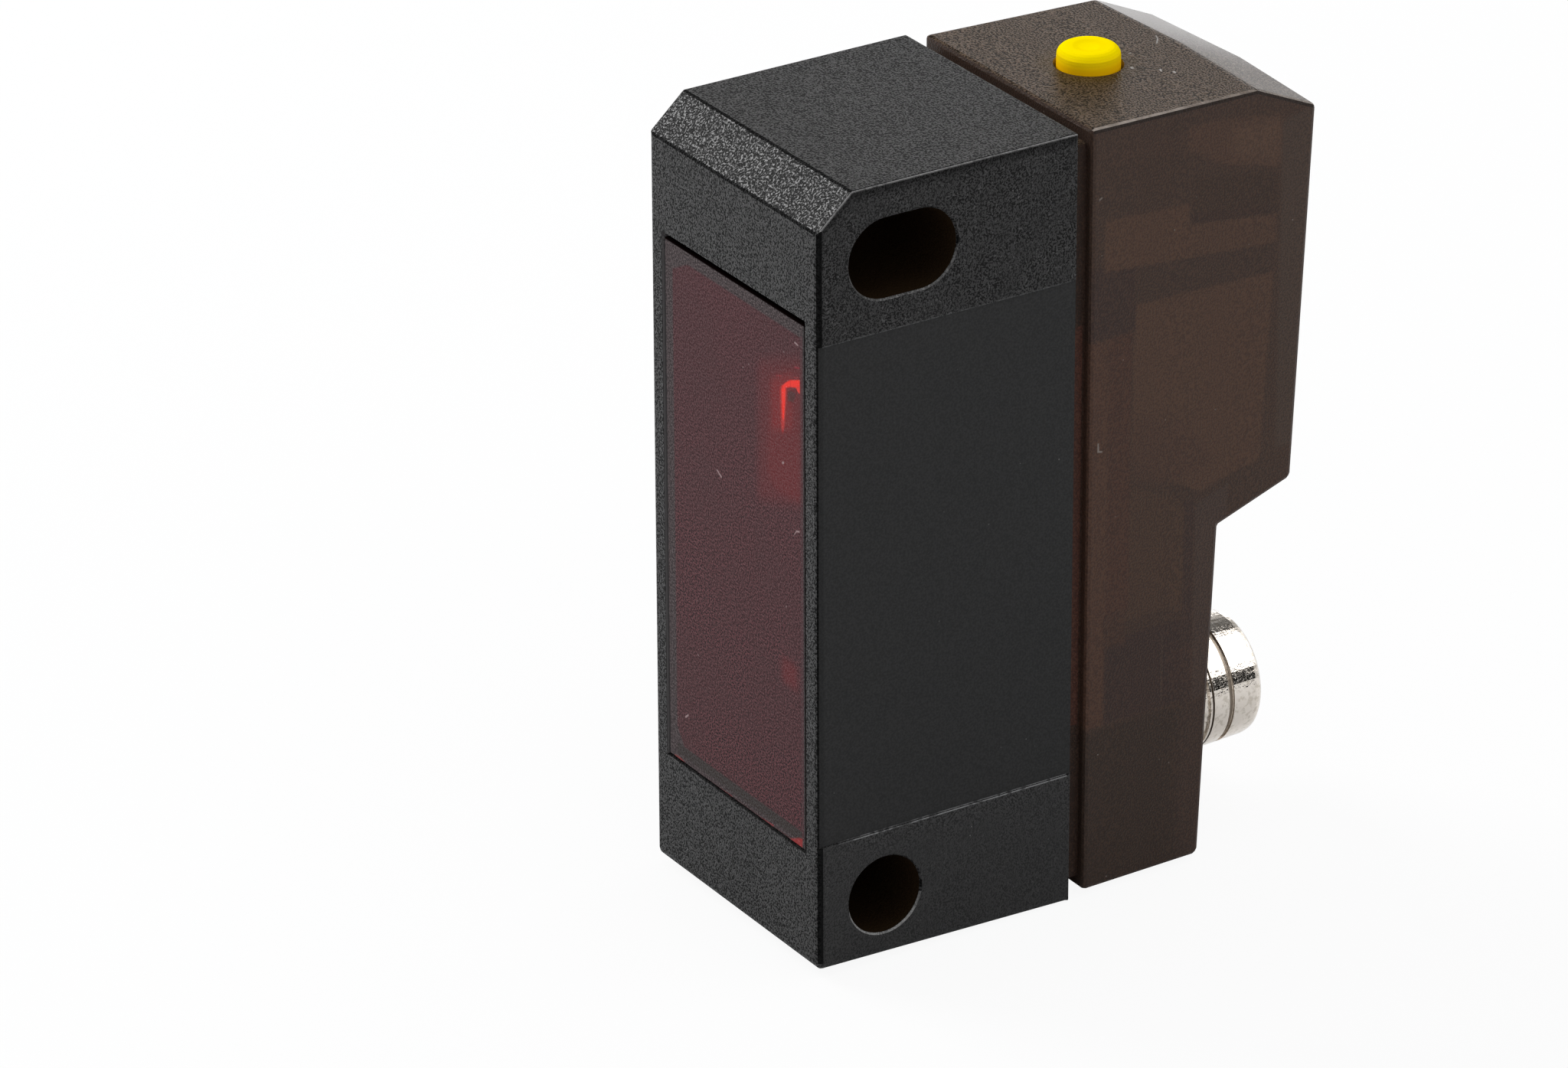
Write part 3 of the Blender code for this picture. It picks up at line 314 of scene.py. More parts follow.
def add_world():
    """A soft white room. What is glossy sees a bright panel in a dark frame, a bright place
    behind on the left and at the end, and dark ones above and in the gap."""
    world = bpy.data.worlds.new("studio")
    bpy.context.scene.world = world
    world.use_nodes = True
    sky = Nodes(world.node_tree, "Generated")

    panel = sky.toward(PANEL, 0.845, 0.885)
    panel_frame = sky.between(sky.along(PANEL), 0.69, 0.86, 0.03)
    panel_frame = sky.both(panel_frame, sky.spread(sky.along(BEHIND), 0.66, 0.76, 1.0, 0.0))
    above = sky.toward(ABOVE, 0.93, 0.985)
    back_left = sky.toward(BACK_LEFT, 0.93, 0.995)
    end = sky.toward(END, 0.86, 0.95)
    gap = sky.toward(GAP, 0.94, 0.985)
    bright = sky.weighed(ROOM_BRIGHT, (back_left, 2.4))
    bright = sky.both(bright, sky.less(panel_frame, 0.3), sky.less(above, 0.35))
    bright = sky.weighed(bright, (panel, 2.0), (end, 0.9))
    bright = sky.both(bright, sky.less(gap, 0.03))

    def background(strength, colour=WHITE):
        light = sky.add("ShaderNodeBackground")
        light.inputs["Color"].default_value = colour
        sky.feed(light.inputs["Strength"], strength)
        return light.outputs[0]

    path = sky.add("ShaderNodeLightPath")
    shown = background(ROOM_SOFT, ROOM_TINT)
    shown = sky.mix_shaders(path.outputs["Is Glossy Ray"], shown, background(bright))
    shown = sky.mix_shaders(path.outputs["Is Camera Ray"], shown, background(1.0))
    output = sky.add("ShaderNodeOutputWorld")
    sky.link(shown, output.inputs["Surface"])


SOFTBOX_AIM = Vector((0, 0, 0.02))
SOFTBOXES = (  # name, place and side in metres, power in watts
    ("key_softbox", (-0.50, -0.25, 0.36), 0.30, 2.5),
    ("top_softbox", (0.05, 0.15, 0.7), 0.6, 1.1),
    ("side_softbox", (0.6, 0.1, 0.35), 0.4, 0.45),
)


def add_softbox(name, place, side, watts):
    data = bpy.data.lights.new(name, "AREA")
    data.shape = "SQUARE"
    data.size = side
    data.energy = watts
    light = bpy.data.objects.new(name, data)
    bpy.context.scene.collection.objects.link(light)
    light.location = place
    toward = SOFTBOX_AIM - Vector(place)
    light.rotation_euler = toward.to_track_quat("-Z", "Y").to_euler()


def add_studio():
    add_floor()
    add_world()
    for softbox in SOFTBOXES:
        add_softbox(*softbox)


# The looks are placed in the row's frame, in millimetres. Corners on the side and on the front
# are measured from the front face and the block's base, and those on the top in the frame itself.
FACE_Y = -15.62
BASE_Z = 0.5
GRAIN = (0.105, 1.5)  # the plastics' fine grain: its size and its detail
GRAINED = (0.40, 0.60)  # the fine noise's values where a grain starts and is full
SQUARE_ON = (0.9, 0.95)  # how far a normal points one way on a face that is square to it


def box(low_a, low_b, high_a, high_b):
    """A rectangle's corners, anticlockwise."""
    return (low_a, low_b), (high_a, low_b), (high_a, high_b), (low_a, high_b)


def thin_line(start, end, half):
    """The outline of a line with the given half width."""
    start, end = Vector(start), Vector(end)
    run = (end - start).normalized() * half
    side = Vector((-run.y, run.x))
    return [tuple(corner) for corner in (start - side, end - side, end + side, start + side)]


def on_side(*corners):
    return [(y + FACE_Y, z + BASE_Z) for y, z in corners]


def on_front(*corners):
    return [(x, z + BASE_Z) for x, z in corners]


def placed(place, *patches):
    """Patches (corners, then their looks) with their corners put in the row's frame."""
    return [(place(*corners), *looks) for corners, *looks in patches]


# The block: its bores, the fields for labels with the lines that end them, and painted shadows
# beside its outer edges (corners, edge, amount)
BORES = (on_side(*box(1.6, 1.0, 6.6, 5.7)), on_side(*box(1.6, 36.6, 8.6, 41.4)))
BORE_WIDTH = (7.70, 7.76)  # a flank is a bore's wall where it lies further in than this
SLOT_LIP = on_side(*box(1.3, 36.2, 8.9, 41.8))
FIELD = on_side(*box(-2, 7.1, 16, 35.0))
FIELD_WIDTH = (7.78, 7.80)
FIELD_FOOT = on_side(*box(1.25, 6.98, 15.3, 7.10))
FIELD_HEAD = on_side(*box(0.1, 34.96, 15.5, 35.06))
RECESS_DEPTH = (FACE_Y + 0.02, FACE_Y + 1.6)
RECESS_WIDTH = (6.9, 6.8)
EDGE_SHADOWS = placed(
    on_side,
    (box(1.95, 42.64, 15.6, 43.0), 0.06, 0.62),
    (box(1.8, 42.40, 15.6, 43.0), 0.12, 0.40),
    (((0.22, 40.88), (2.27, 42.73), (2.08, 42.98), (0.0, 41.13)), 0.06, 0.50),
    (box(0.08, 0.5, 0.42, 41.0), 0.08, 0.30),
)
# GLINT: a painted glint on the grain
GLINT = (0.105, 0.103, 0.103)
FIBRE = (0.16, 0.155, 0.15)
MOTE = (0.13, 0.125, 0.12)
FOOT_LINE = (0.20, 0.20, 0.20)
HEAD_LINE = (0.09, 0.09, 0.09)
# Painted highlight on the rounded edges, and painted shade beside them
EDGE_HIGHLIGHT = (0.27, 0.265, 0.26)
EDGE_SHADE = (0.003, 0.003, 0.003)
# Painted shade in the bores, and a painted highlight on the window recess's wall
BORE_WALL = (0.022, 0.013, 0.0065)
RECESS_WALL = (0.15, 0.14, 0.14)


def housing_material():
    """Glass-filled black plastic with eroded grain, and two smooth fields where labels would
    sit."""
    shade = Shade("grained_black_plastic")
    x, y, z = shade.axes()
    facing_x, facing_y, facing_z = shade.facing()
    width = shade.math("ABSOLUTE", x)
    sideways = shade.math("ABSOLUTE", facing_x)
    flank = shade.spread(sideways, *SQUARE_ON)
    upward = shade.spread(facing_z, *SQUARE_ON)
    low_flank = shade.both(flank, shade.spread_mm(z, 9, 6))
    recessed = shade.spread_mm(width, *FIELD_WIDTH, 1.0, 0.0)
    field = shade.both(shade.inside(FIELD, 0.02), recessed, flank)

    # Relief: shallower on the flanks and the top, smooth in the fields
    grain = shade.spread(shade.noise(*GRAIN), *GRAINED)
    depth = shade.weighed(1.0, (flank, -0.25), (upward, -0.35), (low_flank, -0.45))
    grain = shade.weighed(0.5, (shade.math("SUBTRACT", grain, 0.5), depth))
    fine = shade.noise(0.12, 1.5)
    normal = shade.mix_normals(
        field, shade.bump(grain, 1.0, 0.05), shade.bump(fine, 0.4, 0.008))

    # The plastic, with painted glints and short glass fibres, and the fields, with a few motes
    clouds = shade.noise(2.8)
    dark = shade.mix(clouds, (0.0022, 0.0022, 0.0023), (0.0044, 0.0042, 0.0040))
    light = shade.mix(clouds, (0.023, 0.0223, 0.0222), (0.031, 0.0295, 0.029))
    colour = shade.mix(grain, dark, light)
    glints = shade.spread(shade.noise(0.13, 1.0), 0.60, 0.72)
    colour = shade.mix(shade.both(glints, depth, 0.6), colour, GLINT)
    colour = shade.mix(shade.dust(0.55, 0.04, 1.1, 0.52), colour, FIBRE)
    smooth = shade.mix(clouds, (0.0082, 0.0082, 0.0083), (0.0104, 0.0101, 0.0100))
    paler = shade.spread(fine, 0.3, 0.7, 0.0, 0.5)
    smooth = shade.mix(paler, smooth, (0.0145, 0.0142, 0.0140))
    smooth = shade.mix(shade.dust(0.9, 0.05, 1.9, 0.56), smooth, MOTE)
    colour = shade.mix(field, colour, smooth)

    # The fields' ends catch the light in dashes
    dashes = shade.spread(shade.noise(0.45, 1.0), 0.40, 0.50, 0.25, 1.0)
    foot_line = shade.both(shade.inside(FIELD_FOOT, 0.03), flank, dashes)
    colour = shade.mix(foot_line, colour, FOOT_LINE)
    head_line = shade.both(shade.inside(FIELD_HEAD, 0.05), flank, dashes, 0.5)
    colour = shade.mix(head_line, colour, HEAD_LINE)

    # Rounded edges: a painted highlight on the flank's side, patchy along its length, and painted
    # shade on the other
    rim = shade.both(
        shade.between(sideways, 0.6, 0.985, 0.01), shade.spread(facing_z, 0.12, 0.2))
    line_strength = shade.spread(shade.noise(0.5), 0.35, 0.6, 0.45, 1.0)
    by_slot = shade.less(shade.inside(SLOT_LIP, 0.2), 0.35)
    colour = shade.mix(shade.both(rim, line_strength, by_slot), colour, EDGE_HIGHLIGHT)
    # Painted shade: dark lines on the roof's side of the edges, at the front corners, on the
    # chamfer's folds and beside the flanks' outer edges
    roof_edge = shade.both(
        shade.between(sideways, 0.15, 0.5, 0.02), shade.spread(facing_z, 0.8, 0.86))
    corner = shade.both(
        shade.between(sideways, 0.5, 0.985, 0.01), shade.spread(facing_y, -0.1, -0.2),
        shade.between(facing_z, -0.1, 0.1, 0.02))
    ahead = shade.both(
        shade.spread(facing_y, -0.08, -0.12), shade.spread(sideways, 0.2, 0.15))
    fold = shade.both(shade.between(facing_z, 0.80, 0.99, 0.005), ahead)
    crease = shade.both(
        shade.between(facing_z, 0.06, 0.68, 0.02), ahead, shade.spread_mm(z, 39, 40))
    beside = [
        shade.both(shade.inside(outline, edge), flank, amount)
        for outline, edge, amount in EDGE_SHADOWS]
    edge_shade = shade.greatest(roof_edge, fold, corner, crease, *beside)
    colour = shade.mix(edge_shade, colour, EDGE_SHADE)

    # The walls of the bores, in painted shade, and of the window's recess, painted pale as a
    # painted highlight
    bores = shade.greatest(*[shade.inside(outline, 0.05) for outline in BORES])
    bore = shade.both(bores, shade.spread_mm(width, *BORE_WIDTH, 1.0, 0.0))
    colour = shade.mix(bore, colour, BORE_WALL)
    wall = shade.both(
        shade.between_mm(y, *RECESS_DEPTH, 0.01), flank, shade.spread_mm(width, *RECESS_WIDTH))
    colour = shade.mix(wall, colour, RECESS_WALL)

    # Gloss: it swings with the grain, less on the flanks, and is gone in the bores
    chamfer = shade.both(
        shade.between(facing_z, 0.5, 0.92, 0.02), shade.spread(facing_y, -0.4, -0.5))
    over_field = shade.both(flank, shade.spread_mm(z, 35.3, 35.6))
    gloss = shade.weighed(
        0.28, (chamfer, 0.085), (upward, -0.115), (field, -0.02), (over_field, -0.08))
    swing = shade.weighed(0.6, (chamfer, 0.10), (flank, -0.12), (low_flank, -0.20))
    uneven = shade.spread(shade.noise(1.6), 0.36, 0.60, 0.35, 1.15)
    swing = shade.both(swing, shade.blend(flank, 1.0, uneven))
    relief = shade.weighed(1.0, (shade.spread(grain, 0.3, 0.7, -1.0, 1.0), swing))
    soft_relief = shade.spread(fine, 0.35, 0.65, 0.86, 1.14)
    relief = shade.blend(field, relief, soft_relief)
    shade.set(
        Base_Color=colour,
        Roughness=shade.spread(grain, 0.0, 1.0, 0.56, 0.42),
        Specular_IOR_Level=shade.both(gloss, relief, shade.less(bore), shade.less(edge_shade, 0.2)),
        Normal=normal)
    return shade.material


# The window: the pane inside its glued border, the band at its foot, a painted glow for the red
# light that it gathers with painted shade in the gap at its right, painted reflections, and dust
# (corners, edge, colour, amount)
PANE = on_front((-5.84, 8.3), (-5.1, 7.3), (6.2, 7.3), (6.2, 35.0), (-4.4, 35.05), (-5.84, 34.3))
BAND = on_front((-5.84, 6.72), (6.3, 6.76), (6.3, 7.34), (-5.84, 7.34))
BAND_TONE = (0.021, 0.0125, 0.0105)
PANE_LIP = (BASE_Z + 35.66, BASE_Z + 35.74)
PANE_SIDE = (0.0030, 0.0012, 0.0012)
GLOW = (0.150, 0.0065, 0.0085)
WINDOW_GLOW_AND_SHADE = placed(
    on_front,
    (((2.25, 32.27), (2.17, 24.58), (6.21, 25.76), (6.25, 33.96)), 0.55, GLOW, 0.34),
    (((3.25, 31.81), (3.06, 26.21), (4.35, 25.66), (6.21, 25.97), (6.25, 33.37)),
     0.4, GLOW, 0.38),
    (((3.53, 31.71), (3.51, 28.95), (5.38, 29.67), (5.4, 32.71)),
     0.35, (0.23, 0.007, 0.008), 0.45),
    (box(4.35, 15.2, 5.8, 16.6), 0.4, GLOW, 0.45),
    (box(6.20, 6.9, 6.42, 35.1), 0.05, (0.060, 0.010, 0.015), 0.6),
    (box(6.40, 6.5, 6.8, 36.8), 0.05, (0.006, 0.002, 0.002), 0.8),
)
# Painted reflections: a bright red hook and streaks, with darker patches beside them
HOOK_REFLECTION = (0.85, 0.022, 0.010)
WINDOW_REFLECTIONS = placed(
    on_front,
    (((4.48, 31.75), (4.29, 31.54), (4.40, 29.3), (4.5, 29.15), (4.70, 29.5), (4.93, 31.6),
      (4.95, 31.85)), 0.14, (0.45, 0.018, 0.014), 0.9),
    (((4.53, 31.69), (4.43, 31.53), (4.51, 29.94), (4.58, 29.85), (4.66, 30.0), (4.81, 31.54),
      (4.81, 31.8)), 0.07, HOOK_REFLECTION, 1.0),
    (((4.42, 31.65), (4.93, 31.78), (5.24, 31.95), (5.25, 32.32), (4.81, 32.03)),
     0.06, HOOK_REFLECTION, 1.0),
    (((5.25, 32.32), (5.24, 31.95), (5.63, 32.05), (6.12, 32.26), (6.12, 32.66), (5.79, 32.55)),
     0.06, HOOK_REFLECTION, 1.0),
    (((5.74, 32.12), (6.01, 31.9), (6.12, 31.91), (6.14, 32.31)), 0.06, (0.7, 0.03, 0.02), 1.0),
    (((5.02, 31.1), (5.55, 31.2), (5.75, 31.75), (5.3, 31.8), (5.0, 31.6)),
     0.1, (0.05, 0.011, 0.010), 0.8),
    (((5.63, 33.14), (6.1, 33.24), (6.1, 33.33), (5.63, 33.22)), 0.05, (0.30, 0.012, 0.03), 0.6),
    (((3.94, 32.05), (4.48, 32.22), (4.48, 32.3), (3.94, 32.11)), 0.04, (0.30, 0.015, 0.02), 0.5),
    (((5.58, 32.64), (5.58, 32.58), (6.06, 32.72), (6.06, 32.78)), 0.04, (0.35, 0.02, 0.02), 0.5),
    (((-6.25, 6.2), (-5.9, 5.98), (-4.8, 6.3), (-5.5, 6.56), (-6.1, 6.5)),
     0.1, (0.24, 0.02, 0.018), 0.9),
    (((-2.7, 6.24), (-0.5, 6.34), (-0.5, 6.5), (-2.7, 6.38)), 0.06, (0.22, 0.015, 0.02), 0.85),
    (((1.0, 6.18), (3.5, 6.4), (3.5, 6.56), (1.0, 6.34)), 0.06, (0.24, 0.015, 0.02), 0.9),
    (((4.95, 6.4), (6.2, 6.1), (6.25, 6.95), (6.1, 6.95)), 0.08, (0.26, 0.015, 0.015), 0.95),
    (((-4.9, 6.2), (5.1, 6.3), (5.1, 6.5), (-4.9, 6.42)), 0.1, (0.09, 0.012, 0.014), 0.5),
)
DUST = (0.35, 0.24, 0.24)
FINE_DUST = (0.22, 0.15, 0.15)
WINDOW_DUST = placed(
    on_front,
    (((-1.79, 24.62), (-1.33, 24.34), (-1.25, 24.42), (-1.70, 24.68)), 0.03, DUST, 0.8),
    (((5.48, 23.80), (5.60, 23.92), (5.78, 24.14), (5.70, 24.14)), 0.03, DUST, 0.8),
    (((5.70, 24.12), (6.06, 24.22), (6.06, 24.32), (5.74, 24.22)), 0.03, DUST, 0.8),
    (((4.43, 27.40), (4.65, 27.48), (4.65, 27.61), (4.43, 27.52)), 0.04, DUST, 0.7),
    (((5.62, 34.5), (5.98, 34.44), (5.98, 34.54), (5.66, 34.6)), 0.03, DUST, 0.7),
    (((-5.0, 9.1), (-4.7, 9.35), (-4.76, 9.43), (-5.06, 9.18)), 0.03, DUST, 0.8),
)


def window_material():
    """A dark red pane, matt grey where its rim is glued, with a painted glow for the red light
    that it gathers.
    """
    shade = Shade("dark_red_window")
    _, y, z = shade.axes()
    ahead = shade.spread(shade.facing()[1], -0.5, -0.9)
    front = shade.both(shade.spread_mm(y, FACE_Y + 0.3, FACE_Y + 0.6, 1.0, 0.0), ahead)
    fine = shade.noise(*GRAIN)
    grained = shade.spread(fine, *GRAINED)

    red = shade.mix(
        shade.spread(fine, 0.41, 0.59), (0.015, 0.0020, 0.0032), (0.092, 0.0123, 0.0172))
    higher = shade.both(shade.spread_mm(z, 12, 40), 0.5)
    red = shade.mix(higher, red, (0.062, 0.0090, 0.0130))
    cloudy = shade.spread(shade.noise(3.5), 0.35, 0.65, 0.0, 0.35)
    red = shade.mix(cloudy, red, (0.044, 0.008, 0.010))
    border = shade.mix(grained, (0.020, 0.0120, 0.013), (0.058, 0.036, 0.037))
    colour = shade.mix(shade.inside(PANE, 0.09, "front"), border, red)
    colour = shade.mix(shade.inside(BAND, 0.08, "front"), colour, BAND_TONE)
    # Painted glow for the red light in the pane, and painted shade in the gap at its right
    colour = shade.painted(colour, WINDOW_GLOW_AND_SHADE, "front")
    # Painted reflections: the bright red hook, red streaks along the foot and darker patches
    # beside them
    colour = shade.painted(colour, WINDOW_REFLECTIONS, "front", within=front)
    colour = shade.painted(colour, WINDOW_DUST, "front", within=front)
    colour = shade.mix(shade.both(shade.dust(0.8, 0.055, 1.5, 0.54), 0.8), colour, FINE_DUST)

    # Painted shade: the pane's sides and upper lip are painted nearly black, as the gap round it
    # is
    shown = shade.both(ahead, shade.spread_mm(z, *PANE_LIP, 1.0, 0.0))
    shade.set(
        Base_Color=shade.mix(shown, PANE_SIDE, colour),
        Roughness=shade.spread(fine, 0.3, 0.7, 0.18, 0.28),
        Specular_IOR_Level=shade.both(shown, shade.spread(fine, *GRAINED, 0.06, 0.20)),
        Normal=shade.bump(shade.noise(3.3, 1.0), 0.05, 0.05))
    return shade.material


# The cover: painted light and shade for what shows dimly through its side, the paler inner walls
# and the dark parts before them, and the marks on its side and roof (corners, edge, colour,
# amount)
PALE = (0.088, 0.0476, 0.0316)
COVER_PATCHES = placed(
    on_side,
    (((16.6, 14.9), (22.6, 14.9), (22.6, 20.8), (19.3, 22.4), (16.6, 22.8)),
     0.14, (0.0695, 0.0395, 0.027), 1.0),
    (box(17.7, 15.4, 19.2, 31.2), 0.14, (0.0718, 0.0345, 0.0242), 1.0),
    (box(16.5, 9.2, 17.75, 31.1), 0.12, (0.083, 0.0415, 0.0278), 1.0),
    (box(17.7, 9.2, 22.7, 14.0), 0.16, (0.0455, 0.0275, 0.0235), 1.0),
    (box(17.6, 13.6, 19.0, 15.6), 0.12, (0.064, 0.034, 0.0245), 1.0),
    (((19.3, 24.0), (23.6, 21.0), (27.5, 21.9), (28.1, 32.4), (19.3, 32.7)), 0.14, PALE, 1.0),
    (((19.3, 22.8), (21.5, 21.9), (24.5, 22.5), (22.5, 25.6), (19.3, 26.4)),
     0.4, (0.0758, 0.0405, 0.0285), 0.8),
    (((16.6, 31.2), (19.4, 31.2), (19.4, 35.0), (16.6, 35.2)),
     0.12, (0.048, 0.0285, 0.0235), 1.0),
    (((19.3, 32.6), (28.2, 32.3), (28.2, 33.9), (19.3, 34.9)),
     0.12, (0.056, 0.034, 0.0255), 1.0),
    (((17.4, 34.9), (22.7, 34.4), (22.7, 37.35), (17.4, 37.7)), 0.13, PALE, 1.0),
    (((22.5, 34.42), (28.2, 33.9), (28.2, 35.5), (22.5, 36.25)), 0.13, PALE, 0.9),
    (((22.8, 36.27), (28.3, 35.6), (28.3, 37.9), (22.8, 38.8)),
     0.22, (0.0521, 0.0316, 0.0229), 0.9),
    (((22.8, 36.27), (28.3, 35.6), (28.3, 36.0), (22.8, 36.8)),
     0.10, (0.046, 0.027, 0.0215), 0.7),
    (((17.4, 40.8), (22.5, 40.4), (22.5, 41.5), (17.4, 41.5)), 0.3, (0.066, 0.038, 0.0275), 0.7),
    (((22.5, 40.4), (24.8, 39.0), (28.4, 38.1), (28.5, 40.8), (24.5, 41.6), (22.5, 41.6)),
     0.22, (0.084, 0.046, 0.0315), 1.0),
    (((25.4, 39.3), (28.35, 38.4), (28.4, 40.7), (25.4, 41.0)), 0.6, (0.106, 0.060, 0.040), 0.9),
    (box(21.35, 9.6, 21.5, 13.4), 0.04, (0.070, 0.045, 0.034), 0.6),
    (((22.7, 8.9), (23.3, 8.9), (23.3, 20.6), (22.7, 20.8)), 0.08, (0.049, 0.030, 0.025), 1.0),
    (((28.5, 22.2), (32.0, 22.2), (32.0, 41.5), (28.5, 40.5)),
     0.16, (0.070, 0.0485, 0.038), 0.9),
    (((23.4, 9.0), (25.0, 9.0), (25.5, 21.0), (23.4, 20.4)), 0.12, (0.068, 0.046, 0.038), 0.8),
)
MARK = (0.20, 0.17, 0.15)
COVER_MARKS = placed(
    on_side,
    (((17.10, 24.95), (17.22, 24.95), (17.18, 25.45), (17.10, 25.45)), 0.02, MARK, 0.9),
    (((17.10, 24.93), (17.40, 24.86), (17.42, 24.95), (17.12, 25.03)), 0.02, MARK, 0.9),
    (((17.0, 38.9), (17.2, 39.0), (17.2, 39.1), (17.0, 39.02)), 0.02, MARK, 0.7),
)
ROOF_DUST = (0.42, 0.40, 0.38)
ROOF_SCRATCH = (0.022, 0.016, 0.011)
ROOF_MARKS = (
    (thin_line((1.49, 7.50), (1.75, 7.46), 0.07), 0.03, ROOF_DUST, 0.9),
    (thin_line((-0.11, 8.45), (-0.03, 8.58), 0.04), 0.03, ROOF_DUST, 0.6),
    (thin_line((1.62, 7.77), (2.12, 8.09), 0.06), 0.04, ROOF_SCRATCH, 0.9),
    (thin_line((2.12, 8.12), (2.62, 8.50), 0.05), 0.04, ROOF_SCRATCH, 0.8),
    (thin_line((2.50, 8.62), (2.80, 8.48), 0.05), 0.03, ROOF_DUST, 0.7),
    (thin_line((3.09, 9.01), (3.32, 8.99), 0.07), 0.03, ROOF_DUST, 0.8),
    (thin_line((-1.44, 11.09), (-1.04, 10.93), 0.035), 0.03, ROOF_DUST, 0.6),
    (thin_line((-1.04, 10.93), (-0.51, 10.50), 0.035), 0.03, ROOF_DUST, 0.7),
)
SEAM = (FACE_Y + 16.52, FACE_Y + 16.58)  # the cover's spigot ends here and its outside starts
SPIGOT_GLOW = on_side(*box(15.75, 9.4, 16.45, 32.0))
# Painted light: the button's yellow glow round it on the roof, and a highlight on the roof's rear
# slope
BUTTON_GLOW = (0.070, 0.042, 0.008)
REAR_SLOPE_HIGHLIGHT = (0.36, 0.34, 0.33)
# Painted highlight and painted shade on the cover's rounded edges
COVER_EDGE_HIGHLIGHT = (0.36, 0.31, 0.27)
COVER_EDGE_SHADE = (0.022, 0.015, 0.012)
# Painted light bounced from the button onto the edge of its hole
BUTTON_BOUNCE = (0.42, 0.33, 0.10)
COVER_DUST = (0.24, 0.21, 0.19)
VEIL = (0.62, 0.40, 0.28, 1)
BUTTON_Y = 5.91


def from_button(shade, x, y):
    """The distance from the button's upright axis."""
    squares = [
        shade.math("POWER", value, 2.0) for value in (x, shade.math("SUBTRACT", y, BUTTON_Y * MM))]
    return shade.math("SQRT", shade.math("ADD", *squares))


